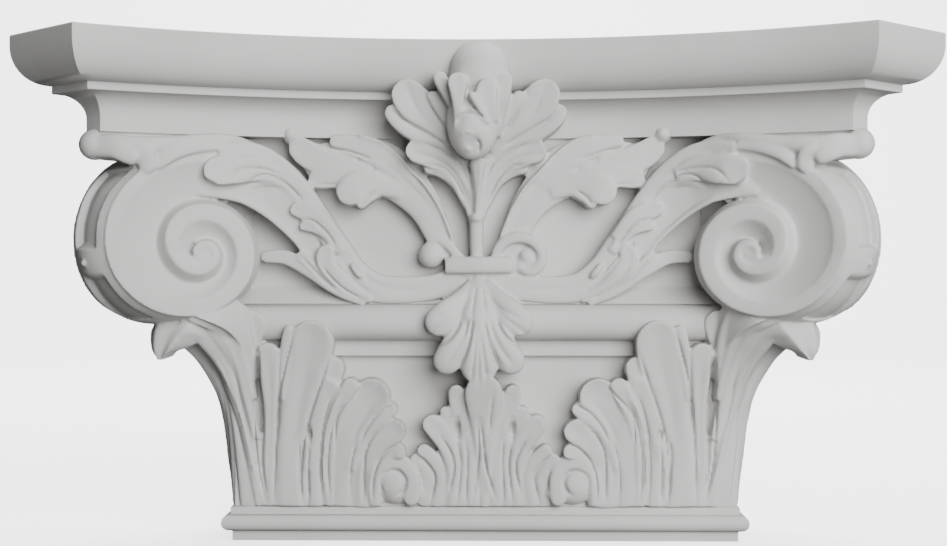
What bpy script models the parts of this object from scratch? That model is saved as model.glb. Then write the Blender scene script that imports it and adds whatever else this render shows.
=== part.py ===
"""Pilaster capital, one solid cast: moulded abacus with cut horns, angle volutes,
bell with roll moulding, leaves, sprays, shell and flower, astragal at the foot.
As in the real cast, the bell stands neckShift to the right of the abacus.

Lengths are millimetres up to the point where a mesh is made. Ornament is laid out
in the units of a front elevation whose neck is elevationNeck units wide; the real
neck width turns those units into millimetres.
"""
import math

import bmesh
import bpy
import numpy as np
from mathutils.bvhtree import BVHTree

for item in list(bpy.data.objects):
    bpy.data.objects.remove(item, do_unlink=True)

# Driving sizes
neckWidth = 300.0
neckProjection = 66.0
totalHeight = 296.0
hornForward = 102.0
neckShift = 4.8
hornHalfWidth = 216.5
hornCut = 49.0
frontHollow = 68.5

# Abacus profile
topBand = 6.5
ovoloHeight = 22.5
ovoloDepth = 17.8
abacusFillet = 4.6
filletStep = 1.4
cavettoDepth = 13.8
cavettoHeight = 14.0
abacusFoot = 7.5

# Neck profile, from the foot up
footFillet = 5.7
footProud = 1.5
astragalHeight = 10.6
astragalProud = 7.5
collarHeight = 4.0
collarProud = 2.5
rollBottom = 120.5
rollHeight = 21.5
rollProud = 19.0
rollSeat = 8.0
rollFillet = 9.5
rollFilletProud = 5.5
slopeHeight = 10.5
slopeProud = 10.0

# Volutes
voluteX = 162.8
voluteZ = 172.5
voluteRadius = 44.0
voluteShares = (1.33, 1.0, 0.84, 0.77, 0.625, 0.44, 0.31, 0.285, 0.14, 0.02)
voluteStart = 80.0
voluteEnd = 870.0
voluteSetback = 23.5
voluteRim = 0.24
voluteSink = 7.5
voluteRise = 4.0
capSink = 12.0
capShare = 0.88
bandBulge = 5.0
bandFrom = 100.0
bandTo = 300.0
bandEase = 40.0
slotSpans = ((135.0, 178.0), (196.0, 238.0))
slotWidth = 0.3
slotDepth = 5.0

# Knob, bracket and web between volute, horn and bell
knobInset = 24.5
bracketInset = 37.0
webWidth = 24.0
webLength = 42.0

# Front elevation of the ornament
elevationNeck = 500.0
elevationEye = 273.0
elevationReach = 1600.0
elevationHeight = 296.0
elevationEyeHeight = 160.5
upperAxis = 475.5
lowerAxis = 485.0
stretch = totalHeight / elevationHeight
eyeHeight = elevationEyeHeight * stretch

# Making
voxel = 1.9
ornamentFaces = 6900
fewerFaces = 110
leastFaces = 5500
plasterColour = (0.80, 0.79, 0.77, 1.0)
metre = 0.001

wallDepth = hornForward + neckProjection
midDepth = wallDepth / 2.0
spare = 6.0
arcRadius = (hornHalfWidth ** 2 + frontHollow ** 2) / (2.0 * frontHollow)
arcAhead = arcRadius - frontHollow
hornX = hornHalfWidth + hornCut / 2.0
hornY = hornCut / 2.0
bracketTop = totalHeight - topBand - ovoloHeight - abacusFillet - cavettoHeight - abacusFoot + 4.0


def acrossHorn(x, y):
    """Mirror a plan point in the diagonal of the right-hand horn."""
    return hornX - (y - hornY), hornY - (x - hornX)


def arcDepth(x, inset):
    """Depth behind the horn tips of the hollow front, set in by inset."""
    return math.sqrt((arcRadius + inset) ** 2 - x * x) - arcAhead


def abacusLoop(inset, frontSteps=22, sideSteps=9):
    """Plan outline of the abacus at one inset from its top edge."""
    radius = arcRadius + inset
    k = arcAhead - (hornHalfWidth - inset * math.sqrt(2.0))
    corner = (math.sqrt(2.0 * radius ** 2 - k ** 2) - k) / 2.0
    lowest = hornX + hornY - wallDepth - spare
    right = []
    for i in range(frontSteps // 2 + 1):
        x = corner * i / (frontSteps // 2)
        right.append((x, arcDepth(x, inset)))
    for i in range(sideSteps + 1):
        x = corner + (lowest - corner) * i / sideSteps
        right.append(acrossHorn(x, arcDepth(x, inset)))
    left = [(-x, y) for x, y in reversed(right[1:])]
    return left + right


def boxLoop(proud):
    """Plan outline of the neck block at one projection."""
    half = neckWidth / 2.0 + proud
    front = hornForward - proud
    back = wallDepth + spare
    left, right = neckShift - half, neckShift + half
    return [(left, back), (left, front), (right, front), (right, back)]


def meshObject(name, points, faces):
    """Mesh object from plan points in millimetres, with depth counted from the horns."""
    points = np.array(points, dtype=float)
    points[:, 1] -= midDepth
    mesh = bpy.data.meshes.new(name)
    mesh.from_pydata((points * metre).tolist(), [], faces)
    mesh.update()
    thing = bpy.data.objects.new(name, mesh)
    bpy.context.scene.collection.objects.link(thing)
    return thing


def stackSolid(name, levels):
    """Closed solid through plan loops of equal count, given as (height, loop)."""
    count = len(levels[0][1])
    points = [(x, y, z) for z, loop in levels for x, y in loop]
    faces = []
    for k in range(len(levels) - 1):
        for i in range(count):
            j = (i + 1) % count
            faces.append((k * count + i, k * count + j, (k + 1) * count + j, (k + 1) * count + i))
    faces.append(tuple(reversed(range(count))))
    faces.append(tuple(range((len(levels) - 1) * count, len(levels) * count)))
    return meshObject(name, points, faces)


def quarter(steps):
    """Sine and cosine along a quarter turn."""
    for i in range(steps + 1):
        angle = math.pi / 2.0 * i / steps
        yield math.sin(angle), math.cos(angle)


def abacusLevels():
    """Heights and insets of the abacus from its underside up."""
    filletInset = ovoloDepth + 0.5
    cavettoTop = totalHeight - topBand - ovoloHeight - abacusFillet
    cavettoFoot = cavettoTop - cavettoHeight
    deep = filletInset + filletStep + cavettoDepth
    rows = [(cavettoFoot - abacusFoot, deep)]
    for s, c in quarter(5):
        rows.append((cavettoFoot + cavettoHeight * s, deep - cavettoDepth * (1.0 - c)))
    rows.append((cavettoTop, filletInset))
    rows.append((cavettoTop + abacusFillet, filletInset))
    for s, c in quarter(5):
        rows.append((cavettoTop + abacusFillet + ovoloHeight * (1.0 - c), ovoloDepth * (1.0 - s)))
    rows.append((totalHeight + spare, 0.0))
    return [(z, abacusLoop(inset)) for z, inset in rows]


def rollLevels(bottom, height, seat, proud, steps):
    """Half-round roll standing out from seat to proud."""
    rows = []
    for i in range(steps + 1):
        angle = math.pi * i / steps
        rows.append((bottom + height * (1.0 - math.cos(angle)) / 2.0,
                     seat + (proud - seat) * math.sin(angle)))
    return rows


def neckLevels():
    """Heights and projections of the neck block from below its foot up."""
    astragalBottom = footFillet
    collarBottom = astragalBottom + astragalHeight
    neckBottom = collarBottom + collarHeight
    rollTop = rollBottom + rollHeight
    rows = [(-spare, footProud), (footFillet, footProud)]
    rows += rollLevels(astragalBottom + 0.4, astragalHeight - 0.6, collarProud, astragalProud, 6)
    rows += [(collarBottom, collarProud), (neckBottom, collarProud), (neckBottom + 0.6, 0.0)]
    rows += [(rollBottom - rollFillet, 0.0), (rollBottom - rollFillet, rollFilletProud)]
    rows += [(rollBottom - 0.2, rollFilletProud)]
    rows += rollLevels(rollBottom, rollHeight, rollSeat, rollProud, 8)
    rows += [(rollTop + 0.2, slopeProud), (rollTop + slopeHeight, 0.0)]
    rows += [(totalHeight - topBand - ovoloHeight, 0.0)]
    return [(z, boxLoop(proud)) for z, proud in rows]


def unit(proud):
    """Millimetres in one elevation unit on a plane that stands proud of the neck."""
    return neckWidth / elevationNeck - proud / elevationReach


def place(axis, px, py, proud):
    """Plan x, depth and height of an elevation point on the right-hand side."""
    scale = unit(proud)
    rise = (elevationEye - py) * scale * stretch
    return (axis - px) * scale, hornForward - proud, eyeHeight + rise


def smoothRows(rows, steps):
    """Catmull-Rom through the rows, steps to each span."""
    rows = np.array(rows, dtype=float)
    padded = np.vstack([2 * rows[0] - rows[1], rows, 2 * rows[-1] - rows[-2]])
    out = []
    for k in range(1, len(padded) - 2):
        a, b, c, d = padded[k - 1:k + 3]
        for i in range(steps):
            t = i / steps
            out.append(0.5 * (2 * b + (c - a) * t + (2 * a - 5 * b + 4 * c - d) * t ** 2
                              + (3 * b - a - 3 * c + d) * t ** 3))
    out.append(rows[-1])
    return np.array(out)


def roundedEnd(line, turns=5):
    """Respace the far end of rows of (px, py, half width, proud) into a round."""
    line = np.array(line)
    line[:, 2] = np.maximum(line[:, 2], 0.5)
    run = np.concatenate([[0.0], np.cumsum(np.hypot(np.diff(line[:, 0]), np.diff(line[:, 1])))])
    length = run[-1]
    last = min(line[-1, 2], 0.6 * length)
    start = length - last
    stops = [r for r in run if r < start - 0.2 * last]
    stops += [start + last * math.sin(math.pi / 2.0 * i / turns) for i in range(turns + 1)]
    out = np.stack([np.interp(stops, run, line[:, k]) for k in range(4)], axis=1)
    for row, stop in zip(out, stops):
        part = max(stop - start, 0.0) / last
        row[2] *= max(math.sqrt(max(1.0 - part ** 2, 0.0)), 0.04)
    return out


def gridFaces(rows, cols, start=0, flip=False):
    """Quads of a grid of rows by cols points."""
    faces = []
    for r in range(rows - 1):
        for c in range(cols - 1):
            a = start + r * cols + c
            quad = (a, a + 1, a + cols + 1, a + cols)
            faces.append(tuple(reversed(quad)) if flip else quad)
    return faces


def shellFaces(rows, cols):
    """Closed skin over an upper and a lower grid of the same count."""
    size = rows * cols
    faces = gridFaces(rows, cols) + gridFaces(rows, cols, size, True)
    rim = [c for c in range(cols)]
    rim += [r * cols + cols - 1 for r in range(1, rows)]
    rim += [(rows - 1) * cols + c for c in range(cols - 2, -1, -1)]
    rim += [r * cols for r in range(rows - 2, 0, -1)]
    for i, a in enumerate(rim):
        b = rim[(i + 1) % len(rim)]
        faces.append((b, a, a + size, b + size))
    return faces


class Ornament:
    """Overlapping closed skins, gathered before they are fused into the one casting."""

    def __init__(self):
        self.points = []
        self.faces = []
        self.count = 0
        self.shift = 0.0

    def add(self, points, faces, mirrored=True):
        """Take a closed skin, and its mirror image in the plane at shift."""
        points = np.array(points, dtype=float)
        for side in ((1.0, -1.0) if mirrored else (1.0,)):
            copy = points.copy()
            copy[:, 0] = copy[:, 0] * side + self.shift
            self.points.append(copy)
            for face in faces:
                ring = face if side > 0 else tuple(reversed(face))
                self.faces.append(tuple(i + self.count for i in ring))
            self.count += len(points)


ornament = Ornament()


def lobe(axis, rows, fall=0.28, floor=-4.0, thick=None, mirrored=True, side=False):
    """Leaf lobe along rows of (px, py, half width, proud of the neck face).

    The crown falls towards both edges by the share fall; the skin goes down to floor,
    or follows the crown at a given thickness. The far end is rounded."""
    cols = 7
    line = roundedEnd(smoothRows(rows, 3))
    path = np.array([place(axis, r[0], r[1], r[3]) for r in line])
    half = np.array([r[2] * unit(r[3]) for r in line])
    flat = path[:, [0, 2]]
    tangent = np.gradient(flat, axis=0)
    tangent /= np.maximum(np.linalg.norm(tangent, axis=1)[:, None], 1e-9)
    normal = np.stack([-tangent[:, 1], tangent[:, 0]], axis=1)
    top, under = [], []
    belly = float(np.mean([row[2] for row in rows])) * unit(0.0)
    for i in range(len(line)):
        for v in np.linspace(-1.0, 1.0, cols):
            x, z = flat[i] + normal[i] * half[i] * v
            proud = line[i, 3]
            height = proud - fall * min(belly, proud + 2.0) * v * v
            low = floor if thick is None else height - thick
            top.append((x, hornForward - height, z))
            under.append((x, hornForward - min(low, height - 0.6), z))
    points = np.array(top + under)
    ornament.add(points, shellFaces(len(line), cols), mirrored)
    if side:
        cornerX = neckWidth / 2.0
        turned = points.copy()
        turned[:, 0] = cornerX - (points[:, 1] - hornForward)
        turned[:, 1] = hornForward - (points[:, 0] - cornerX)
        ornament.add(turned, [tuple(reversed(f)) for f in shellFaces(len(line), cols)], mirrored)


def ball(centre, radii, mirrored=True, rings=7, around=10):
    """Closed ellipsoid about a plan point."""
    points = [(centre[0], centre[1], centre[2] - radii[2])]
    for i in range(1, rings):
        a = math.pi * i / rings - math.pi / 2.0
        for j in range(around):
            b = 2.0 * math.pi * j / around
            points.append((centre[0] + radii[0] * math.cos(a) * math.cos(b),
                           centre[1] + radii[1] * math.cos(a) * math.sin(b),
                           centre[2] + radii[2] * math.sin(a)))
    points.append((centre[0], centre[1], centre[2] + radii[2]))
    last = len(points) - 1
    faces = []
    for j in range(around):
        n = (j + 1) % around
        faces.append((0, 1 + n, 1 + j))
        for i in range(rings - 2):
            a = 1 + i * around
            faces.append((a + j, a + n, a + around + n, a + around + j))
        a = 1 + (rings - 2) * around
        faces.append((a + j, a + n, last))
    ornament.add(points, faces, mirrored)


def voluteLine(angle):
    """Radius of the scroll's outer edge at an angle in degrees, wound inwards.

    The shares of the radius are given at each quarter turn from 90 degrees on."""
    turn = min(max((angle - 90.0) / 90.0, -0.2), len(voluteShares) - 1.0)
    k = min(max(int(math.floor(turn)), 0), len(voluteShares) - 2)
    t = turn - k
    b, c = voluteShares[k], voluteShares[k + 1]
    a = voluteShares[k - 1] if k > 0 else 2.0 * b - c
    d = voluteShares[k + 2] if k + 2 < len(voluteShares) else 2.0 * c - b
    share = 0.5 * (2 * b + (c - a) * t + (2 * a - 5 * b + 4 * c - d) * t ** 2
                   + (3 * b - a - 3 * c + d) * t ** 3)
    return max(voluteRadius * share, 0.4)


def voluteSpot(radius, angle, height):
    """Point on the hollow face of the front scroll, on the right-hand side."""
    a = math.radians(angle)
    x = voluteX - radius * math.cos(a)
    return x, arcDepth(x, voluteSetback) - height, voluteZ + radius * math.sin(a)


def turnAcross(points):
    """The same points on the side scroll."""
    turned = np.array(points, dtype=float)
    flipped = turned.copy()
    flipped[:, 0], flipped[:, 1] = acrossHorn(turned[:, 0], turned[:, 1])
    return flipped


def scroll():
    """Wound band of both scroll faces of one volute: rim, hollow channel, step."""
    section = ((0.0, -14.0), (0.0, -0.8), (0.03, 0.0), (voluteRim, 0.0),
               (voluteRim + 0.06, -0.35 * voluteSink), (0.6, -0.7 * voluteSink),
               (1.04, -voluteSink), (1.04, -14.0))
    count = 56
    points = []
    for i in range(count + 1):
        angle = voluteStart + (voluteEnd - voluteStart) * i / count
        outer = voluteLine(angle)
        inner = voluteLine(angle + 360.0) if angle + 360.0 < voluteEnd else 0.0
        rise = voluteRise * i / count
        for across, height in section:
            radius = max(outer + (inner - outer) * across, 0.05)
            points.append(voluteSpot(radius, angle, height + rise))
    size = len(section)
    faces = []
    for i in range(count):
        for j in range(size):
            n = (j + 1) % size
            faces.append((i * size + j, i * size + n, (i + 1) * size + n, (i + 1) * size + j))
    faces.append(tuple(reversed(range(size))))
    faces.append(tuple(range(count * size, count * size + size)))
    ornament.add(points, faces)
    ornament.add(turnAcross(points), [tuple(reversed(f)) for f in faces])


def drum():
    """Body of one volute between its two scrolls: swelling edge with its sunk slots,
    and end caps that lie deeper than the hollow of the scrolls."""
    count = 36
    across = 12
    points = []
    for i in range(count + 1):
        angle = voluteStart + 360.0 * i / count
        inBand = min(angle - bandFrom, bandTo - angle)
        swell = bandBulge * min(1.0, max(0.0, inBand / bandEase))
        slotted = any(low < angle < high for low, high in slotSpans)
        for j in range(across + 1):
            v = j / across
            radius = voluteLine(angle) + swell * (1.0 - (2.0 * v - 1.0) ** 2)
            front = np.array([voluteSpot(radius, angle, -1.0)])
            spot = front[0] * (1.0 - v) + turnAcross(front)[0] * v
            if slotted and abs(v - 0.5) < slotWidth / 2.0 + 0.01:
                spot = spot + np.array([-1.0, 1.0, 0.0]) * slotDepth * math.sqrt(0.5)
            points.append(spot)
    width = across + 1
    faces = gridFaces(count + 1, width)
    faces.append((0, count * width, count * width + across, across)[::-1])
    frontRing = [i * width for i in range(count + 1)]
    rearRing = [i * width + across for i in range(count + 1)]
    first = len(points)
    for i in range(count + 1):
        angle = voluteStart + 360.0 * i / count
        inner = np.array([voluteSpot(capShare * voluteLine(angle), angle, -capSink)])
        points += [inner[0], turnAcross(inner)[0]]
    middle = np.array([voluteSpot(0.0, 0.0, -capSink)])
    points += [middle[0], turnAcross(middle)[0]]
    hub = len(points) - 2
    for i in range(count + 1):
        n = (i + 1) % (count + 1)
        here, there = first + 2 * i, first + 2 * n
        faces.append((frontRing[n], frontRing[i], here, there)[::-1])
        faces.append((rearRing[i], rearRing[n], there + 1, here + 1)[::-1])
        faces.append((there, here, hub)[::-1])
        faces.append((here + 1, there + 1, hub + 1)[::-1])
    ornament.add(points, [tuple(reversed(f)) for f in faces])


def prism(ring, low, high):
    """Upright closed solid on a plan ring that runs anticlockwise from above."""
    size = len(ring)
    points = [(x, y, z) for z in (low, high) for x, y in ring]
    faces = [(i, (i + 1) % size, (i + 1) % size + size, i + size) for i in range(size)]
    faces += [tuple(reversed(range(size))), tuple(range(size, 2 * size))]
    ornament.add(points, faces)


def web():
    """Mass that joins the volute to the angle of the bell."""
    foot = neckWidth / 2.0
    inside = (foot - webWidth / 3.0, hornForward + webWidth / 3.0)
    half = webWidth / 2.0 * math.sqrt(0.5)
    outside = (inside[0] + webLength * math.sqrt(0.5), inside[1] - webLength * math.sqrt(0.5))
    ring = [(inside[0] - half, inside[1] - half), (outside[0] - half, outside[1] - half),
            (outside[0] + half, outside[1] + half), (inside[0] + half, inside[1] + half)]
    prism(ring, voluteZ - 0.5 * voluteRadius, voluteZ + 1.3 * voluteRadius)


def cornerLeaf():
    """Angle leaf: up the neck corner, out under the volute, with a tip that hangs."""
    line = smoothRows(((-2, 18, 11, 6), (-0.8, 60, 11, 7), (1.6, 84.6, 12, 9), (6.5, 103, 13, 12),
                       (13, 114.5, 15, 15), (20, 121.5, 17, 17), (28, 126, 17, 16),
                       (33, 127.5, 13, 13)), 3)
    cornerX = neckWidth / 2.0
    tangent = np.gradient(line[:, :2], axis=0)
    tangent /= np.linalg.norm(tangent, axis=1)[:, None]
    cols = 7
    top, under = [], []
    for (out, z, half, thick), (to, tz) in zip(line, tangent):
        for v in np.linspace(-1.0, 1.0, cols):
            crown = -0.3 * half * v * v
            across = half * v * math.sqrt(0.5)
            for bucket, drop in ((top, 0.0), (under, thick)):
                o = out + tz * (crown - drop)
                h = z - to * (crown - drop)
                bucket.append((cornerX + o + across, hornForward - o + across, h * stretch))
    ornament.add(top + under, shellFaces(len(line), cols))
    tip = ((173, 308, 9, 38), (168, 326, 12, 41), (164, 339, 13, 42), (162, 349, 11, 40),
           (161, 357, 7, 37))
    lobe(lowerAxis, tip, thick=15.0, side=True)
    lip = ((212, 310, 9, 34), (203, 323, 9, 39), (195, 331, 8, 42), (188, 336, 6, 42))
    lobe(lowerAxis, lip, thick=13.0, side=True)


def neckLeaves():
    """Angle leaf halves, inner leaves and the leaf on the axis of the neck."""
    lobe(lowerAxis, ((281, 504, 18, 4), (282, 440, 21, 7), (290, 385, 24, 11), (302, 352, 26, 16)),
         fall=0.1, side=True)
    angleLobes = (
        ((265, 504, 5, 4), (253, 430, 8, 8), (247, 362, 13, 15), (250, 311, 15, 24)),
        ((272, 504, 8, 4), (269, 440, 9, 9), (266, 388, 13, 16), (266, 343, 14, 23)),
        ((284, 504, 6, 4), (287, 430, 7, 9), (287, 372, 8, 15), (288, 326, 8, 23)),
        ((293, 504, 9, 5), (301, 430, 15, 11), (311, 372, 20, 18), (315, 320, 21, 27)),
        ((310, 450, 6, 7), (323, 403, 9, 12), (336, 358, 12, 17)))
    for rows in angleLobes:
        lobe(lowerAxis, rows, side=True)
    lobe(lowerAxis, ((340, 504, 40, 4), (346, 450, 37, 8), (362, 402, 28, 11)), fall=0.1)
    innerLobes = (
        ((311, 504, 6, 4), (311, 450, 7, 8), (313, 391, 7, 13)),
        ((322, 504, 8, 5), (324, 440, 10, 10), (329, 380, 13, 16)),
        ((340, 504, 9, 5), (346, 440, 13, 12), (354, 378, 14, 19)),
        ((356, 504, 10, 5), (367, 440, 15, 12), (380, 379, 18, 19)),
        ((374, 475, 8, 8), (384, 437, 10, 11), (397, 403, 9, 14)),
        ((368, 504, 9, 5), (382, 457, 12, 10), (401, 417, 12, 15)),
        ((372, 504, 7, 5), (382, 474, 9, 9), (403, 453, 9, 12)))
    for rows in innerLobes:
        lobe(lowerAxis, rows)
    lobe(lowerAxis, ((485, 504, 52, 4), (485, 455, 44, 8), (485, 400, 30, 12)), fall=0.1,
         mirrored=False)
    axisLobes = (
        ((466, 504, 8, 5), (462, 450, 10, 10), (456, 387, 11, 17)),
        ((454, 470, 5, 8), (447, 436, 6, 11), (443, 407, 6, 13)),
        ((456, 504, 8, 5), (446, 460, 12, 10), (429, 417, 13, 15)),
        ((445, 504, 9, 5), (438, 480, 12, 9), (420, 447, 11, 13)))
    for rows in axisLobes:
        lobe(lowerAxis, rows)
    lobe(lowerAxis, ((485, 504, 10, 6), (485, 440, 16, 13), (485, 374, 23, 28)), mirrored=False)
    for px, py, radius, proud in ((396, 484, 24, 6), (396, 484, 12, 9)):
        x, _, z = place(lowerAxis, px, py, proud)
        size = radius * unit(proud)
        ball((x, hornForward, z), (size, proud, size))


def shellLeaf():
    """Fluted shell that hangs from the clasp over the roll."""
    lobe(upperAxis + 1.5, ((470, 283, 6, 14), (444, 308, 16, 29), (419, 331, 19, 27)))
    lobe(upperAxis + 1.5, ((473, 284, 6, 14), (460, 325, 16, 31), (443, 366, 19, 27)))
    lobe(upperAxis + 1.5, ((477, 276, 8, 12), (477, 325, 17, 33), (477, 381, 17, 27)), mirrored=False)


def clasp():
    """Bar, its two end buttons and the stem that rises to the flower."""
    lobe(upperAxis, ((484, 265, 8, 18), (462, 265, 8, 17), (436, 264, 8, 14)), fall=0.5)
    lobe(upperAxis, ((476, 262, 8, 14), (476, 240, 9, 15), (476, 216, 9, 16)), mirrored=False)
    x, _, z = place(upperAxis, 427, 255, 12)
    size = 15 * unit(12)
    ball((x, hornForward - 9, z), (size, 12, size))
    _, _, z = place(upperAxis, 476, 221, 14)
    ball((0.0, hornForward - 7, z), (6.5, 10.5, 3.2), mirrored=False)


def flower():
    """Flower on the abacus: head, bud with its eye, petals, paired leaves and stems."""
    _, depth, z = place(upperAxis, 476, 70, 40)
    head = 29 * unit(40)
    ball((0.0, depth + 4, z), (head, head, head), mirrored=False)
    _, depth, z = place(upperAxis, 473, 118, 34)
    ball((0.0, depth + 6, z), (15.0, 16.0, 23.0), mirrored=False, rings=8)
    _, depth, z = place(upperAxis, 473, 147, 30)
    ball((0.0, depth + 2, z), (8.0, 8.0, 8.0), mirrored=False)
    petals = (
        ((462, 112, 8, 36), (444, 92, 10, 40), (440, 66, 8, 42)),
        ((466, 125, 7, 38), (458, 98, 9, 46), (459, 76, 8, 47)))
    for rows in petals:
        lobe(upperAxis, rows, floor=10.0)
    lobe(upperAxis, ((470, 190, 8, 12), (445, 142, 17, 20), (412, 108, 22, 27)), fall=0.1)
    leaves = (
        ((462, 150, 6, 22), (442, 118, 8, 30), (430, 95, 7, 34)),
        ((460, 150, 9, 20), (428, 112, 14, 30), (402, 86, 11, 36)),
        ((458, 152, 9, 18), (422, 122, 12, 26), (391, 100, 9, 32)),
        ((460, 152, 8, 16), (424, 132, 12, 23), (391, 120, 9, 27)),
        ((468, 200, 7, 14), (445, 165, 13, 22), (410, 152, 11, 26)),
        ((471, 212, 6, 13), (456, 184, 10, 18), (428, 168, 8, 20)))
    for rows in leaves:
        lobe(upperAxis, rows, floor=-3.0)
    lobe(upperAxis, ((466, 160, 5, 20), (469, 192, 5, 17), (475, 224, 5, 14)))


def sprays():
    """Scrolling leaf sprays that run from the clasp into each volute."""
    stem = ((463, 262, 8, 11), (454, 277, 11, 11), (434, 287, 12, 11), (398, 291, 12, 12),
            (356, 279, 14, 12), (328, 250, 15, 12), (300, 216, 15, 14), (268, 186, 19, 20),
            (232, 173, 25, 31), (208, 174, 27, 37), (185, 175, 27, 41))
    lobe(upperAxis, stem, fall=0.2, side=True)
    edge = ((345, 287, 4, 13), (314, 266, 5, 15), (292, 236, 5, 17), (268, 211, 5, 21),
            (240, 198, 6, 31), (208, 198, 6, 41), (192, 203, 6, 45))
    lobe(upperAxis, edge, fall=0.2, side=True)
    lobes = (
        ((286, 174, 4, 17), (262, 159, 10, 19), (234, 154, 13, 27), (208, 166, 12, 34)),
        ((308, 208, 8, 14), (278, 181, 11, 18), (246, 184, 8, 20)),
        ((342, 250, 9, 14), (318, 228, 11, 16), (293, 213, 7, 17)),
        ((372, 292, 9, 12), (338, 280, 12, 14), (321, 256, 8, 16)),
        ((350, 292, 7, 11), (312, 272, 11, 13), (284, 257, 8, 12), (262, 258, 5, 10)),
        ((452, 248, 8, 10), (424, 206, 16, 12), (392, 172, 25, 13), (345, 160, 22, 13),
         (296, 146, 13, 12)),
        ((402, 185, 10, 12), (366, 183, 13, 14), (336, 200, 9, 13)),
        ((365, 168, 9, 12), (336, 174, 11, 14), (314, 188, 6, 13)),
        ((345, 158, 10, 12), (310, 154, 13, 14), (287, 146, 9, 15)),
        ((345, 146, 8, 11), (325, 141, 7, 12), (306, 140, 6, 12)))
    for rows in lobes:
        lobe(upperAxis, rows)
    x, depth, z = place(upperAxis, 290, 134, 12)
    ball((x, depth + 3, z), (6.0, 6.0, 6.0))


def hornKnob():
    """Knob under the horn and the leaf that lies along the top of the volute."""
    knob = 18 * unit(60)
    along = knobInset
    ball((hornX - along, hornY + along, eyeHeight + (elevationEye - 148) * unit(57)),
         (knob * 1.05, knob * 1.05, knob))
    rows = ((94, 147, 14, 60), (120, 151, 15, 59), (150, 157, 13, 55), (166, 161, 9, 50))
    lobe(upperAxis, rows, fall=0.3, thick=16.0)
    band = ((120, 148, 11, 58), (158, 147, 10, 53), (190, 143, 8, 45), (215, 142, 8, 37),
            (240, 147, 7, 29), (262, 158, 5, 22))
    lobe(upperAxis, band, thick=16.0)
    low = eyeHeight + (elevationEye - 166) * unit(57)
    tip = abacusLoop(bracketInset)
    corner = max(p[0] - p[1] for p in tip)
    nose = [p for p in tip if abs(p[0] - p[1] - corner) < 0.01 and p[0] > 0.0][0]
    foot = neckWidth / 2.0
    shoulder = (foot + 2.0, arcDepth(foot + 2.0, bracketInset))
    root = (foot - 8.0, hornForward + 8.0)
    ring = [nose, shoulder, root, acrossHorn(*shoulder), acrossHorn(*nose)]
    prism(ring[::-1], low, bracketTop)


def fuse():
    """One skin over all the ornament, thinned to its share of the faces."""
    points = np.vstack(ornament.points)
    thing = meshObject("ornament", points, ornament.faces)
    remesh = thing.modifiers.new("fuse", "REMESH")
    remesh.mode = "VOXEL"
    remesh.voxel_size = voxel * metre
    soften = thing.modifiers.new("soften", "SMOOTH")
    soften.factor = 0.5
    soften.iterations = 1
    return thing


def settle(thing):
    """Replace an object's mesh by what its modifiers make."""
    graph = bpy.context.evaluated_depsgraph_get()
    mesh = bpy.data.meshes.new_from_object(thing.evaluated_get(graph))
    thing.modifiers.clear()
    thing.data = mesh
    return thing


def thin(thing, target):
    """Copy with its edges collapsed until about target triangles are left."""
    triangles = sum(len(p.vertices) - 2 for p in thing.data.polygons)
    lean = thing.copy()
    bpy.context.scene.collection.objects.link(lean)
    reduce = lean.modifiers.new("thin", "DECIMATE")
    reduce.ratio = min(1.0, target / triangles)
    reduce.use_collapse_triangulate = True
    return settle(lean)


def sound(thing):
    """Whether the skin is closed and no two of its faces pass through each other."""
    shape = bmesh.new()
    shape.from_mesh(thing.data)
    bmesh.ops.triangulate(shape, faces=shape.faces)
    closed = all(len(edge.link_faces) == 2 for edge in shape.edges)
    tree = BVHTree.FromBMesh(shape)
    corners = [{vert.index for vert in face.verts} for face in shape.faces]
    crossing = any(i < j and not corners[i] & corners[j] for i, j in tree.overlap(tree))
    shape.free()
    return closed and not crossing


def combine(base, other, operation):
    """Exact boolean of two closed solids; the second one is used up."""
    join = base.modifiers.new(operation.lower(), "BOOLEAN")
    join.operation = operation
    join.solver = "EXACT"
    join.object = other
    settle(base)
    bpy.data.objects.remove(other, do_unlink=True)
    return base


def outerSkin(thing):
    """Keep the one connected skin that reaches furthest, so that no void is left inside."""
    shape = bmesh.new()
    shape.from_mesh(thing.data)
    unseen = set(shape.verts)
    best, bestReach = [], -1.0
    while unseen:
        seed = unseen.pop()
        patch, queue = [seed], [seed]
        while queue:
            for link in queue.pop().link_edges:
                for vert in link.verts:
                    if vert in unseen:
                        unseen.discard(vert)
                        patch.append(vert)
                        queue.append(vert)
        reach = max(v.co.x for v in patch) - min(v.co.x for v in patch)
        if reach > bestReach:
            best, bestReach = patch, reach
    kept = set(best)
    loose = [v for v in shape.verts if v not in kept]
    bmesh.ops.delete(shape, geom=loose, context="VERTS")
    shape.to_mesh(thing.data)
    shape.free()
    return thing


scroll()
drum()
web()
ornament.shift = neckShift
cornerLeaf()
neckLeaves()
ornament.shift = 0.0
shellLeaf()
clasp()
flower()
sprays()
hornKnob()


def casting(carving):
    """The whole cast: neck, abacus and carving in one, cut off at wall, foot and top."""
    body = stackSolid("neck block", neckLevels())
    body = combine(body, stackSolid("abacus", abacusLevels()), "UNION")
    body = combine(body, carving, "UNION")
    reach = 2.0 * hornX
    room = ((-reach, -reach), (reach, -reach), (reach, wallDepth), (-reach, wallDepth))
    bounds = stackSolid("bounds", [(0.0, room), (totalHeight, room)])
    return outerSkin(combine(body, bounds, "INTERSECT"))


# Thinning can fold a narrow crease over itself, so it is repeated a little coarser
# until the cast comes out sound.
fused = settle(fuse())
faceCount = ornamentFaces
capital = casting(thin(fused, faceCount))
while not sound(capital) and faceCount > leastFaces:
    bpy.data.objects.remove(capital, do_unlink=True)
    faceCount -= fewerFaces
    capital = casting(thin(fused, faceCount))
bpy.data.objects.remove(fused, do_unlink=True)
capital.name = "pilaster_capital"
capital.data.name = "pilaster_capital"

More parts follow.
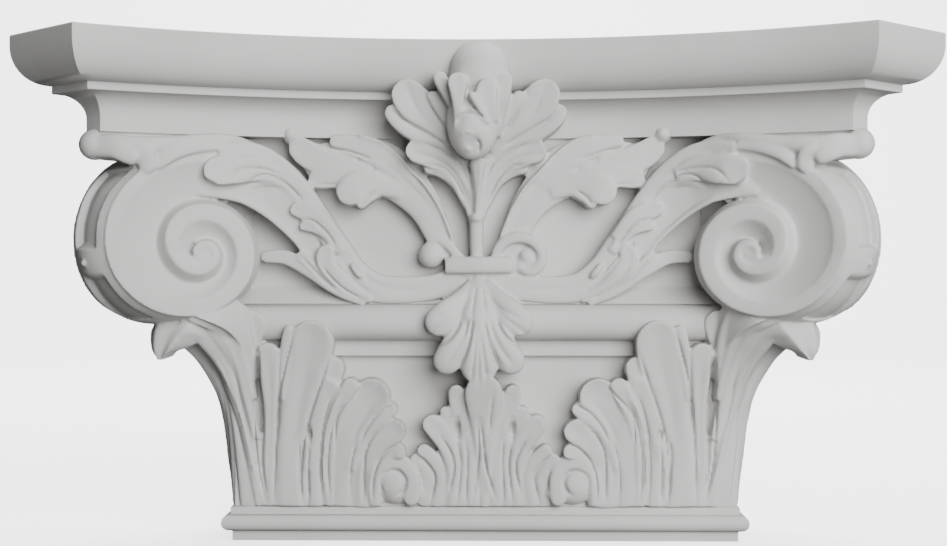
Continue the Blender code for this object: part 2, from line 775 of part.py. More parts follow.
plaster = bpy.data.materials.new("plaster")
plaster.use_nodes = True
plaster.diffuse_color = plasterColour
shader = plaster.node_tree.nodes["Principled BSDF"]
shader.inputs["Base Color"].default_value = plasterColour
shader.inputs["Roughness"].default_value = 0.85
capital.data.materials.clear()
capital.data.materials.append(plaster)
print("triangles", sum(len(p.vertices) - 2 for p in capital.data.polygons))
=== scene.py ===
import math

import bmesh
import bpy
import numpy as np
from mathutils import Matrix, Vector


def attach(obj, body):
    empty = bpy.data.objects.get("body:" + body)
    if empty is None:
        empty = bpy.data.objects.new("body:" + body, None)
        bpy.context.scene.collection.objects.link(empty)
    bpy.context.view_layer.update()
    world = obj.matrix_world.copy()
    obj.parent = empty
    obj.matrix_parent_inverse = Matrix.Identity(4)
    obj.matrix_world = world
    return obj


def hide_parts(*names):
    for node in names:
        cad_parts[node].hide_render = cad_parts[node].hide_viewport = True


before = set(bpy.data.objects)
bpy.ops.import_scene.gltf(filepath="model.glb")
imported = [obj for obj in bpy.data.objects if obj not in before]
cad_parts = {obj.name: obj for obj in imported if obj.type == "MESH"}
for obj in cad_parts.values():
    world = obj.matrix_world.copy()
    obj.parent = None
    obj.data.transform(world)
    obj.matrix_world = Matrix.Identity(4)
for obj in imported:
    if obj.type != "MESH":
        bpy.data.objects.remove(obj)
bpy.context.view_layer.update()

metre = 0.001

# Capital: sizes in millimetres that a user may change, a number of triangles and an angle
capital = {
    "neckWidth": 300.0,
    "neckProjection": 66.0,
    "totalHeight": 296.0,
    "hornForward": 102.0,
    "neckShift": 4.8,
    "shellShift": 1.6,
    "hornHalfWidth": 216.5,
    "hornCut": 49.0,
    "frontHollow": 68.5,
    "topBand": 6.5,
    "ovoloHeight": 22.5,
    "ovoloDepth": 17.8,
    "ovoloStep": 0.5,
    "topInset": 0.5,
    "abacusFillet": 4.6,
    "filletStep": 1.4,
    "cavettoDepth": 13.8,
    "cavettoHeight": 14.0,
    "abacusFoot": 7.5,
    "footFillet": 5.7,
    "footProud": 1.5,
    "astragalHeight": 10.6,
    "astragalProud": 7.5,
    "collarHeight": 4.0,
    "collarProud": 2.5,
    "rollBottom": 120.5,
    "rollHeight": 21.5,
    "rollProud": 19.0,
    "rollSeat": 8.0,
    "rollFillet": 9.5,
    "rollFilletProud": 5.5,
    "slopeHeight": 10.5,
    "slopeProud": 10.0,
    "arris": 0.7,
    "coreInset": 2.0,
    "coreBottom": 20.0,
    "coreTop": 10.0,
    "voxel": 0.85,
    "carvedTriangles": 158000,
    "sharpAngle": 38.0,
}
neckWidth = capital["neckWidth"]
hornForward = capital["hornForward"]
hornHalfWidth = capital["hornHalfWidth"]
totalHeight = capital["totalHeight"]
wallDepth = hornForward + capital["neckProjection"]
midDepth = wallDepth / 2.0
spare = 6.0
arcRadius = (hornHalfWidth ** 2 + capital["frontHollow"] ** 2) / (2.0 * capital["frontHollow"])
arcAhead = arcRadius - capital["frontHollow"]
hornX = hornHalfWidth + capital["hornCut"] / 2.0
hornY = capital["hornCut"] / 2.0

# Front elevation that the ornament is laid out in: one unit is 0.6 mm on the face of
# the neck, and less further forward
elevation = {
    "neck": 500.0,
    "eye": 273.0,
    "reach": 1600.0,
    "upperAxis": 475.5,
    "shellAxis": 479.0,
    "lowerAxis": 485.0,
    "eyeHeight": 160.5,
    "leafFoot": 506.5,
}
upperAxis = elevation["upperAxis"]
shellAxis = elevation["shellAxis"]
lowerAxis = elevation["lowerAxis"]
eyeHeight = elevation["eyeHeight"]
leafFoot = elevation["leafFoot"]


def acrossHorn(x, y):
    return hornX - (y - hornY), hornY - (x - hornX)


def arcDepth(x, inset):
    return math.sqrt((arcRadius + inset) ** 2 - x * x) - arcAhead


def abacusLoop(inset, frontSteps=72, sideSteps=26):
    radius = arcRadius + inset
    k = arcAhead - (hornHalfWidth - inset * math.sqrt(2.0))
    corner = (math.sqrt(2.0 * radius ** 2 - k ** 2) - k) / 2.0
    lowest = hornX + hornY - wallDepth - spare
    right = []
    for i in range(frontSteps // 2 + 1):
        x = corner * i / (frontSteps // 2)
        right.append((x, arcDepth(x, inset)))
    for i in range(sideSteps + 1):
        x = corner + (lowest - corner) * i / sideSteps
        right.append(acrossHorn(x, arcDepth(x, inset)))
    left = [(-x, y) for x, y in reversed(right[1:])]
    return left + right


def boxLoop(proud):
    half = neckWidth / 2.0 + proud
    front = hornForward - proud
    back = wallDepth + spare
    left, right = capital["neckShift"] - half, capital["neckShift"] + half
    return [(left, back), (left, front), (right, front), (right, back)]


def addThing(name, data):
    thing = bpy.data.objects.new(name, data)
    bpy.context.scene.collection.objects.link(thing)
    return thing


def meshObject(name, points, faces):
    points = np.array(points, dtype=float)
    points[:, 1] -= midDepth
    mesh = bpy.data.meshes.new(name)
    mesh.from_pydata((points * metre).tolist(), [], faces)
    mesh.update()
    return addThing(name, mesh)


def stackSolid(name, levels):
    count = len(levels[0][1])
    points = [(x, y, z) for z, loop in levels for x, y in loop]
    faces = []
    for k in range(len(levels) - 1):
        for i in range(count):
            j = (i + 1) % count
            faces.append((k * count + i, k * count + j, (k + 1) * count + j, (k + 1) * count + i))
    faces.append(tuple(reversed(range(count))))
    faces.append(tuple(range((len(levels) - 1) * count, len(levels) * count)))
    return meshObject(name, points, faces)


def quarter(steps):
    for i in range(steps + 1):
        angle = math.pi / 2.0 * i / steps
        yield math.sin(angle), math.cos(angle)


def softened(rows, radius):
    # each sharp turn of a profile becomes a small round
    rows = [np.array(r, dtype=float) for r in rows]
    out = [tuple(rows[0])]
    for before, here, after in zip(rows, rows[1:], rows[2:]):
        a, b = before - here, after - here
        la, lb = float(np.linalg.norm(a)), float(np.linalg.norm(b))
        turn = float(np.dot(a, b)) / max(la * lb, 1e-9)
        if turn < -0.93:
            out.append(tuple(here))
            continue
        cut = min(radius, 0.45 * la, 0.45 * lb)
        start, end = here + a / la * cut, here + b / lb * cut
        for t in (0.0, 0.33, 0.67, 1.0):
            spot = start * (1 - t) ** 2 + here * 2 * t * (1 - t) + end * t ** 2
            out.append(tuple(spot))
    out.append(tuple(rows[-1]))
    return out


def abacusLevels():
    c = capital
    filletInset = c["ovoloDepth"] + c["ovoloStep"]
    cavettoTop = totalHeight - c["topBand"] - c["ovoloHeight"] - c["abacusFillet"]
    cavettoFoot = cavettoTop - c["cavettoHeight"]
    deep = filletInset + c["filletStep"] + c["cavettoDepth"]
    rows = [(cavettoFoot - c["abacusFoot"], deep)]
    for s, k in quarter(10):
        rows.append((cavettoFoot + c["cavettoHeight"] * s, deep - c["cavettoDepth"] * (1.0 - k)))
    rows.append((cavettoTop, filletInset))
    rows.append((cavettoTop + c["abacusFillet"], filletInset))
    for s, k in quarter(12):
        rows.append((cavettoTop + c["abacusFillet"] + c["ovoloHeight"] * (1.0 - k),
                     c["ovoloDepth"] * (1.0 - s)))
    rows.append((totalHeight - c["arris"], 0.0))
    rows.append((totalHeight, c["topInset"]))
    rows.append((totalHeight + spare, c["topInset"]))
    return [(z, abacusLoop(inset)) for z, inset in softened(rows, c["arris"])]


def rollLevels(bottom, height, seat, proud, steps):
    rows = []
    for i in range(steps + 1):
        angle = math.pi * i / steps
        rows.append((bottom + height * (1.0 - math.cos(angle)) / 2.0,
                     seat + (proud - seat) * math.sin(angle)))
    return rows


def neckLevels():
    c = capital
    astragalBottom = c["footFillet"]
    collarBottom = astragalBottom + c["astragalHeight"]
    neckBottom = collarBottom + c["collarHeight"]
    rollBottom = c["rollBottom"]
    rollTop = rollBottom + c["rollHeight"]
    # steps of a few tenths of a millimetre keep neighbouring levels apart
    rows = [(-spare, c["footProud"]), (astragalBottom, c["footProud"])]
    rows += rollLevels(astragalBottom + 0.4, c["astragalHeight"] - 0.6, c["collarProud"],
                       c["astragalProud"], 14)
    rows += [(collarBottom, c["collarProud"]), (neckBottom, c["collarProud"]), (neckBottom + 0.6, 0.0)]
    rows += [(rollBottom - c["rollFillet"], 0.0), (rollBottom - c["rollFillet"], c["rollFilletProud"])]
    rows += [(rollBottom - 0.2, c["rollFilletProud"])]
    rows += rollLevels(rollBottom, c["rollHeight"], c["rollSeat"], c["rollProud"], 18)
    rows += [(rollTop + 0.2, c["slopeProud"]), (rollTop + c["slopeHeight"], 0.0)]
    rows += [(totalHeight - c["topBand"] - c["ovoloHeight"], 0.0)]
    return [(z, boxLoop(proud)) for z, proud in softened(rows, c["arris"])]


def unit(proud):
    return neckWidth / elevation["neck"] - proud / elevation["reach"]


def place(axis, px, py, proud):
    scale = unit(proud)
    return (axis - px) * scale, hornForward - proud, eyeHeight + (elevation["eye"] - py) * scale


def spline(a, b, c, d, t):
    return 0.5 * (2 * b + (c - a) * t + (2 * a - 5 * b + 4 * c - d) * t ** 2
                  + (3 * b - a - 3 * c + d) * t ** 3)


def portion(part, whole):
    return min(1.0, max(0.0, part / whole))


def inverted(faces):
    return [tuple(reversed(face)) for face in faces]


def smoothRows(rows, steps):
    rows = np.array(rows, dtype=float)
    padded = np.vstack([2 * rows[0] - rows[1], rows, 2 * rows[-1] - rows[-2]])
    out = []
    for k in range(1, len(padded) - 2):
        out += [spline(*padded[k - 1:k + 3], i / steps) for i in range(steps)]
    out.append(rows[-1])
    return np.array(out)


def roundedEnd(line, turns=9):
    # the far end of rows of (px, py, half width, proud) becomes round; adds how far in it is
    line = np.array(line)
    line[:, 2] = np.maximum(line[:, 2], 0.5)
    run = np.concatenate([[0.0], np.cumsum(np.hypot(np.diff(line[:, 0]), np.diff(line[:, 1])))])
    length = run[-1]
    last = min(line[-1, 2], 0.6 * length)
    start = length - last
    stops = [r for r in run if r < start - 0.2 * last]
    stops += [start + last * math.sin(math.pi / 2.0 * i / turns) for i in range(turns + 1)]
    out = np.stack([np.interp(stops, run, line[:, k]) for k in range(4)], axis=1)
    inEnd = np.clip((np.array(stops) - start) / last, 0.0, 1.0)
    out[:, 2] *= np.maximum(np.sqrt(1.0 - inEnd ** 2), 0.04)
    return out, inEnd


def gridFaces(rows, cols, start=0, flip=False):
    faces = []
    for r in range(rows - 1):
        for c in range(cols - 1):
            a = start + r * cols + c
            faces.append((a, a + 1, a + cols + 1, a + cols))
    return inverted(faces) if flip else faces


def shellFaces(rows, cols):
    size = rows * cols
    faces = gridFaces(rows, cols) + gridFaces(rows, cols, size, True)
    rim = [c for c in range(cols)]
    rim += [r * cols + cols - 1 for r in range(1, rows)]
    rim += [(rows - 1) * cols + c for c in range(cols - 2, -1, -1)]
    rim += [r * cols for r in range(rows - 2, 0, -1)]
    for i, a in enumerate(rim):
        b = rim[(i + 1) % len(rim)]
        faces.append((b, a, a + size, b + size))
    return faces


class Skins:
    # overlapping closed skins of the ornament, most with their mirror image
    def __init__(self):
        self.points = []
        self.faces = []
        self.count = 0
        self.shift = 0.0

    def add(self, points, faces, mirrored=True):
        points = np.array(points, dtype=float)
        for side in ((1.0, -1.0) if mirrored else (1.0,)):
            copy = points.copy()
            copy[:, 0] = copy[:, 0] * side + self.shift
            self.points.append(copy)
            for face in faces:
                ring = face if side > 0 else face[::-1]
                self.faces.append(tuple(i + self.count for i in ring))
            self.count += len(points)


ornament = Skins()
crossSteps = [math.sin(math.pi / 2.0 * t) for t in np.linspace(-1.0, 1.0, 15)]

# Leaf lobes: where the edge starts to roll and the dish to open, as shares of the half width
# and of the length, and the least thickness in millimetres
leafEdge = {
    "rollFrom": 0.55,
    "rollShare": 0.45,
    "dishFrom": 0.25,
    "dishShare": 0.45,
    "dishedCrown": 0.04,
    "leastThick": 0.6,
}


def lobe(axis, rows, crown=0.14, roll=1.6, floor=-4.0, thick=None, mirrored=True, side=False,
         dish=0.0):
    # leaf lobe along rows of (px, py, half width, proud): crowned or dished face, rolled edges
    # and rounded far end; side repeats it round the neck corner
    cols = len(crossSteps)
    crown = min(crown, leafEdge["dishedCrown"]) if dish else crown
    line, inEnd = roundedEnd(smoothRows(rows, 6))
    path = np.array([place(axis, r[0], r[1], r[3]) for r in line])
    half = np.array([r[2] * unit(r[3]) for r in line])
    full = np.interp(np.arange(len(line)), np.linspace(0, len(line) - 1, len(rows)),
                     [r[2] * unit(r[3]) for r in rows])
    flat = path[:, [0, 2]]
    tangent = np.gradient(flat, axis=0)
    tangent /= np.maximum(np.linalg.norm(tangent, axis=1)[:, None], 1e-9)
    normal = np.stack([-tangent[:, 1], tangent[:, 0]], axis=1)
    belly = float(np.mean([row[2] for row in rows])) * unit(0.0)
    span = np.linspace(0.0, 1.0, len(line))
    top, under = [], []
    for i in range(len(line)):
        proud = line[i, 3]
        turn = min(roll, 0.8 * max(full[i], 0.6))
        tip = turn * (1.0 - math.sqrt(max(1.0 - inEnd[i] ** 2.2, 0.0)))
        opened = portion(span[i] - leafEdge["dishFrom"], leafEdge["dishShare"])
        bowl = dish * opened ** 2 * (3.0 - 2.0 * opened) * (1.0 - inEnd[i] ** 2.5)
        for v in crossSteps:
            x, z = flat[i] + normal[i] * half[i] * v
            edge = max(0.0, (abs(v) - leafEdge["rollFrom"]) / leafEdge["rollShare"])
            height = proud - crown * min(belly, proud + 2.0) * v * v
            height -= max(turn * (1.0 - math.sqrt(max(1.0 - edge ** 2, 0.0))), tip)
            height -= bowl * (1.0 - v * v)
            low = floor if thick is None else height - thick
            top.append((x, hornForward - height, z))
            under.append((x, hornForward - min(low, height - leafEdge["leastThick"]), z))
    points = np.array(top + under)
    faces = shellFaces(len(line), cols)
    backward = inverted(faces)
    if not mirrored:
        points[:, 0] *= -1.0
        faces = backward
    ornament.add(points, faces, mirrored)
    if side:
        cornerX = neckWidth / 2.0
        turned = points.copy()
        turned[:, 0] = cornerX - (points[:, 1] - hornForward)
        turned[:, 1] = hornForward - (points[:, 0] - cornerX)
        ornament.add(turned, backward, mirrored)


def ball(centre, radii, mirrored=True, rings=18, around=28):
    points = [(centre[0], centre[1], centre[2] - radii[2])]
    for i in range(1, rings):
        a = math.pi * i / rings - math.pi / 2.0
        for j in range(around):
            b = 2.0 * math.pi * j / around
            points.append((centre[0] + radii[0] * math.cos(a) * math.cos(b),
                           centre[1] + radii[1] * math.cos(a) * math.sin(b),
                           centre[2] + radii[2] * math.sin(a)))
    points.append((centre[0], centre[1], centre[2] + radii[2]))
    last = len(points) - 1
    faces = []
    for j in range(around):
        n = (j + 1) % around
        faces.append((0, 1 + n, 1 + j))
        for i in range(rings - 2):
            a = 1 + i * around
            faces.append((a + j, a + n, a + around + n, a + around + j))
        a = 1 + (rings - 2) * around
        faces.append((a + j, a + n, last))
    ornament.add(points, faces, mirrored)


def spotBall(axis, px, py, proud, size, deep=None, tall=None, mirrored=True):
    # ball whose middle lies at an elevation point, with sizes in elevation units
    x, depth, z = place(axis, px, py, proud)
    radius = size * unit(proud)
    height = (tall or size) * unit(proud)
    ball((x if mirrored else -x, depth, z), (radius, deep or radius, height), mirrored)


# Volute: sizes in millimetres, shares and angles
volute = {
    "x": 162.8,
    "z": 172.5,
    "radius": 44.0,
    "shares": (1.33, 1.0, 0.84, 0.775, 0.627, 0.35, 0.268, 0.182, 0.19, 0.145, 0.02),
    "start": 66.0,
    "end": 918.0,
    "flat": 558.0,
    "drumStart": 80.0,
    "driftX": 7.5,
    "driftZ": 1.5,
    "setback": 23.5,
    "rim": 8.4,
    "rimGrowth": 2.2,
    "rimShare": 0.56,
    "entry": 5.8,
    "coveAngles": (400, 440, 480, 540, 600, 660, 720, 900),
    "coveWidths": (0.6, 3.0, 6.4, 8.8, 7.6, 4.2, 1.6, 0.9),
    "sink": 8.0,
    "rise": 4.2,
    "lead": 4.5,
    "capSink": 12.0,
    "capShare": 0.88,
    "bulge": 5.0,
    "slotWidth": 0.66,
    "slotDepth": 5.5,
    "slots": ((122.0, 178.0), (197.0, 246.0)),
    "endSink": 13.0,
    "studAngle": 187.5,
    "studSize": 2.0,
    "knobInset": 24.5,
    "bracketInset": 37.0,
    "webWidth": 24.0,
    "webLength": 42.0,
    "knobRadius": 15.5,
}


def voluteLine(angle):
    shares = volute["shares"]
    turn = min(max((angle - 90.0) / 90.0, -0.2), len(shares) - 1.0)
    k = min(max(int(math.floor(turn)), 0), len(shares) - 2)
    t = turn - k
    b, c = shares[k], shares[k + 1]
    a = shares[k - 1] if k > 0 else 2.0 * b - c
    d = shares[k + 2] if k + 2 < len(shares) else 2.0 * c - b
    return max(volute["radius"] * spline(a, b, c, d, t), 0.4)


def drift(angle):
    # the middle of the winding moves inward over its second turn
    return portion(angle - 360.0, 360.0)


def voluteSpot(radius, angle, height):
    a = math.radians(angle)
    x = volute["x"] - volute["driftX"] * drift(angle) - radius * math.cos(a)
    z = volute["z"] - volute["driftZ"] * drift(angle) + radius * math.sin(a)
    return x, arcDepth(x, volute["setback"]) - height, z


def turnAcross(points):
    turned = np.array(points, dtype=float)
    flipped = turned.copy()
    flipped[:, 0], flipped[:, 1] = acrossHorn(turned[:, 0], turned[:, 1])
    return flipped


def scroll():
    # wound band of both scroll faces: flat rim, hollow channel, sloped step up to the next
    # turn, and a flat eye where the channel runs out
    count = 300
    hollow = 11
    sink = volute["sink"]
    points = []
    for i in range(count + 1):
        angle = volute["start"] + (volute["end"] - volute["start"]) * i / count
        a = math.radians(angle)
        outer = voluteLine(angle)
        inner = 0.0
        if angle < volute["flat"]:
            step = drift(angle + 360.0) - drift(angle)
            inner = voluteLine(angle + 360.0)
            inner += step * (volute["driftX"] * math.cos(a) - volute["driftZ"] * math.sin(a))
        inner += volute["entry"] * portion(90.0 - angle, 9.0)
        band = max(outer - inner, 0.1)
        rim = volute["rim"] + volute["rimGrowth"] * portion(angle - 180.0, 180.0)
        rim = min(rim, volute["rimShare"] * band)
        climbed = portion(angle - volute["start"], volute["flat"] - volute["start"])
        rise = volute["rise"] * climbed ** 1.1
        rise -= volute["lead"] * max(0.0, (86.0 - angle) / 20.0) ** 2
        deep = sink * min(1.0, band / 20.0) * portion(volute["flat"] + 12.0 - angle, 30.0)
        foot = float(np.interp(angle, volute["coveAngles"], volute["coveWidths"]))
        # across the band: cove wall, rounded rim, hollow
        row = [(-foot - 0.6, -15.0), (-foot, -1.4 * sink), (-0.66 * foot, -0.98 * sink),
               (-0.33 * foot, -0.53 * sink), (-0.06 * foot, -1.2), (0.15, -0.35), (0.9, 0.0),
               (rim - 1.0, 0.0), (rim - 0.1, -1.0)]
        for j in range(1, hollow + 1):
            t = j / hollow
            row.append((rim + (band + 1.0 - rim) * t, -1.1 - (deep - 0.9) * math.sin(t * 1.35) ** 0.9))
        row.append((band + 1.0, -14.0))
        for across, height in row:
            radius = max(outer - across, 0.05)
            points.append(voluteSpot(radius, angle, height + rise))
    size = len(points) // (count + 1)
    faces = []
    for i in range(count):
        for j in range(size):
            n = (j + 1) % size
            faces.append((i * size + j, i * size + n, (i + 1) * size + n, (i + 1) * size + j))
    faces.append(tuple(reversed(range(size))))
    faces.append(tuple(range(count * size, count * size + size)))
    ornament.add(points, faces)
    ornament.add(turnAcross(points), inverted(faces))


def drum():
    # body between the two scroll faces: swelling edge with sunk slots, and end caps that lie
    # deeper than the hollow of the scrolls
    count = 150
    across = 40
    points = []
    for i in range(count + 1):
        angle = volute["drumStart"] + 360.0 * i / count
        swell = volute["bulge"] * portion(min(angle - 100.0, 300.0 - angle), 40.0)
        ease = max(portion(min(angle - start, end - angle), 3.0) for start, end in volute["slots"])
        for j in range(across + 1):
            v = j / across
            radius = voluteLine(angle) + swell * (1.0 - (2.0 * v - 1.0) ** 2)
            low = 1.0 + volute["endSink"] * max(0.0, 1.0 - min(i, count - i) / 6.0)
            front = np.array([voluteSpot(radius, angle, -low)])
            spot = front[0] * (1.0 - v) + turnAcross(front)[0] * v
            wall = portion(volute["slotWidth"] / 2.0 - abs(v - 0.5), 0.03)
            sunk = volute["slotDepth"] * ease * wall
            spot = spot + np.array([-1.0, 1.0, 0.0]) * sunk * math.sqrt(0.5)
            points.append(spot)
    width = across + 1
    faces = gridFaces(count + 1, width)
    faces.append((0, count * width, count * width + across, across)[::-1])
    frontRing = [i * width for i in range(count + 1)]
    rearRing = [i * width + across for i in range(count + 1)]
    first = len(points)
    for i in range(count + 1):
        angle = volute["drumStart"] + 360.0 * i / count
        radius = volute["capShare"] * voluteLine(angle)
        inner = np.array([voluteSpot(radius, angle, -volute["capSink"])])
        points += [inner[0], turnAcross(inner)[0]]
    middle = np.array([voluteSpot(0.0, 0.0, -volute["capSink"])])
    points += [middle[0], turnAcross(middle)[0]]
    hub = len(points) - 2
    for i in range(count + 1):
        n = (i + 1) % (count + 1)
        here, there = first + 2 * i, first + 2 * n
        faces.append((frontRing[n], frontRing[i], here, there)[::-1])
        faces.append((rearRing[i], rearRing[n], there + 1, here + 1)[::-1])
        faces.append((there, here, hub)[::-1])
        faces.append((here + 1, there + 1, hub + 1)[::-1])
    ornament.add(points, inverted(faces))
    angle = volute["studAngle"]
    stud = np.array([voluteSpot(voluteLine(angle) + volute["bulge"], angle, -1.0)])
    ball((stud[0] + turnAcross(stud)[0]) / 2.0, (volute["studSize"],) * 3, rings=10, around=14)


def prism(ring, low, high):
    size = len(ring)
    points = [(x, y, z) for z in (low, high) for x, y in ring]
    faces = [(i, (i + 1) % size, (i + 1) % size + size, i + size) for i in range(size)]
    faces += [tuple(reversed(range(size))), tuple(range(size, 2 * size))]
    ornament.add(points, faces)


def web():
    # wall on the diagonal that carries the volute from the neck corner
    foot = neckWidth / 2.0
    width, length = volute["webWidth"], volute["webLength"]
    inside = (foot - width / 3.0, hornForward + width / 3.0)
    half = width / 2.0 * math.sqrt(0.5)
    outside = (inside[0] + length * math.sqrt(0.5), inside[1] - length * math.sqrt(0.5))
    ring = [(inside[0] - half, inside[1] - half), (outside[0] - half, outside[1] - half),
            (outside[0] + half, outside[1] + half), (inside[0] + half, inside[1] + half)]
    prism(ring, volute["z"] - 0.5 * volute["radius"], volute["z"] + 1.3 * volute["radius"])


def hornKnob():
    # knob and leafy band under the horn, and the bracket that carries them
    along = volute["knobInset"]
    knob = volute["knobRadius"] * unit(60)
    ball((hornX - along, hornY + along, eyeHeight + (elevation["eye"] - 143.5) * unit(57)),
         (knob * 1.05, knob * 1.05, knob * 1.02))
    band = ((92, 145, 11, 61), (112, 145, 12, 63), (130, 146, 11, 61.5), (150, 144, 9, 58),
            (168, 142, 7, 53.5), (190, 139.5, 6, 48), (215, 138, 5.5, 40.5), (236, 141, 5.5, 31),
            (258, 151, 5, 24), (272, 160, 3, 19))
    lobe(upperAxis, band, thick=17.0, crown=0.3)
    folds = (
        (((104, 147, 8, 62), (116, 150, 9, 63.5), (127, 155, 9, 63), (133, 163, 7, 61.5)), 15.0),
        (((134, 146, 8, 61), (141, 152, 10, 60.5), (145, 161, 9.5, 58.8), (144.5, 173, 8, 58.5)), 14.0),
        (((214, 146, 4, 41.5), (192, 147, 6, 48), (174, 151, 7.5, 52.5), (162, 159, 6.5, 55),
          (156, 168, 3.5, 55.5)), 12.0))
    for rows, thick in folds:
        lobe(upperAxis, rows, thick=thick, crown=0.2)
    low = eyeHeight + (elevation["eye"] - 158) * unit(57)
    c = capital
    top = totalHeight - c["topBand"] - c["ovoloHeight"] - c["abacusFillet"] - c["cavettoHeight"]
    tip = abacusLoop(volute["bracketInset"])
    corner = max(p[0] - p[1] for p in tip)
    nose = [p for p in tip if abs(p[0] - p[1] - corner) < 0.01 and p[0] > 0.0][0]
    foot = neckWidth / 2.0
    shoulder = (foot + 2.0, arcDepth(foot + 2.0, volute["bracketInset"]))
    root = (foot - 8.0, hornForward + 8.0)
    ring = [nose, shoulder, root, acrossHorn(*shoulder), acrossHorn(*nose)]
    prism(ring[::-1], low, top - c["abacusFoot"] + 4.0)


def cornerStrip(rows, across, crown, cols, flutes, groove):
    # strip that climbs the neck corner and hangs under the volute: rows of
    # (out from the corner, height, half width, thickness), off the diagonal by across
    line = smoothRows(rows, 8)
    cornerX = neckWidth / 2.0
    tangent = np.gradient(line[:, :2], axis=0)
    tangent /= np.linalg.norm(tangent, axis=1)[:, None]
    top, under = [], []
    for (out, z, half, thick), (to, tz) in zip(line, tangent):
        for v in np.linspace(-1.0, 1.0, cols):
            dome = -crown * half * v * v
            wave = 0.5 - 0.5 * math.cos(2.0 * math.pi * flutes * v)
            dome -= groove * portion(z - 66.0, 36.0) * wave
            for bucket, drop in ((top, 0.0), (under, thick)):
                o = out + tz * (dome - drop)
                h = z - to * (dome - drop)
                s = (across + half * v) * math.sqrt(0.5)
                bucket.append((cornerX + o + s, hornForward - o + s, h))
    ornament.add(top + under, shellFaces(len(line), cols))


def cornerLeaf():
    # leaf on the neck corner: broad back that spreads under the volute, and a tip that hangs
    back = ((-2.4, 18, 9, 6), (-2.2, 39, 9.5, 6), (-1.4, 60, 10.5, 7), (1.2, 84.6, 13, 9),
            (6.0, 103, 17, 12), (12.5, 114.5, 22, 15), (20, 121.5, 25.5, 17), (28, 126.5, 26, 17),
            (33.5, 131, 22, 16))
    cornerStrip(back, across=0.0, crown=0.24, cols=65, flutes=4, groove=1.7)
    fan = ((250, leafFoot, 11, 2.5), (245, 450, 11.5, 4), (241, 410, 12.5, 6.5), (234, 380, 13.5, 10.5),
           (225, 356, 17, 15.5), (217, 338, 21, 21), (212, 322, 24, 26), (210, 310, 24, 29))
    lobe(lowerAxis, fan, crown=0.1, roll=2.5, thick=18.0, side=True)
    strands = (
        ((258, leafFoot, 3, 4), (247, 450, 4.5, 6.5), (239, 412, 5.5, 9.5), (231, 385, 6.5, 14.5),
         (220, 362, 7.5, 21.5), (206, 343, 8.5, 31.5), (193, 329, 8.5, 39.5), (184, 316, 8, 41)),
        ((256, 440, 4, 8), (247, 404, 5, 11.5), (240, 378, 6, 16), (230, 355, 7.5, 23), (217, 336, 8.5, 32),
         (205, 322, 8.5, 38.5), (198, 311, 8, 40)),
        ((252, 400, 4, 11.5), (246, 375, 5.5, 16), (239, 352, 7, 22), (229, 333, 8.5, 29),
         (220, 318, 8.5, 35.5),
         (214, 307, 8, 37)),
        ((253, 380, 4, 13), (249, 355, 6, 19), (243, 332, 8, 25), (236, 314, 8, 30), (232, 303, 8, 32)))
    for rows in strands:
        lobe(lowerAxis, rows, crown=0.35, roll=2.2, thick=13.0, side=True)
    tip = ((37.8, 109.6, 1.6, 6), (39.4, 114.6, 8, 9), (39.6, 121, 13, 11),
           (38.4, 128.5, 17, 12), (34.5, 135.5, 17.5, 12), (28, 142, 14, 12))
    cornerStrip(tip, across=2.0, crown=0.34, cols=33, flutes=1, groove=1.9)


def angleLeaf():
    # leaf beside the neck corner, which the side face repeats
    blade = ((263, leafFoot, 2, 3), (254, 460, 5, 5), (243, 420, 7, 8), (232, 385, 9, 12),
             (224, 360, 11, 18))
    lobe(lowerAxis, blade, side=True, crown=0.05)
    plate = ((281, leafFoot, 18, 4.2), (282, 440, 20, 7.8), (290, 385, 22, 12.5), (302, 352, 24, 18.5))
    lobe(lowerAxis, plate, crown=0.02, side=True)
    angleLobes = (
        (((264, leafFoot, 4, 3.5), (253.5, 440, 6, 6), (247, 390, 5.5, 9.5), (246, 355, 8.5, 13.5),
          (250, 328, 15, 20), (250.5, 310, 16, 23)), 1.0),
        (((267, leafFoot, 3, 4), (269, 440, 6, 8), (271, 400, 8.5, 12), (269, 372, 11.5, 17),
          (266, 343.5, 13, 22)), 0.8),
        (((281, 400, 4, 13), (284, 370, 5, 17), (286.5, 345, 6.5, 21), (290, 325, 5.5, 24)), 0.0),
        (((290, leafFoot, 14, 5), (292, 440, 15, 9), (298, 395, 16, 14), (308.5, 360, 22, 20),
          (314, 321, 21, 27)), 2.2),
        (((305, 470, 6, 7), (315, 425, 8, 11), (326, 393, 10, 15), (336, 358, 11.5, 19)), 1.2))
    for rows, dish in angleLobes:
        lobe(lowerAxis, rows, side=True, dish=dish)


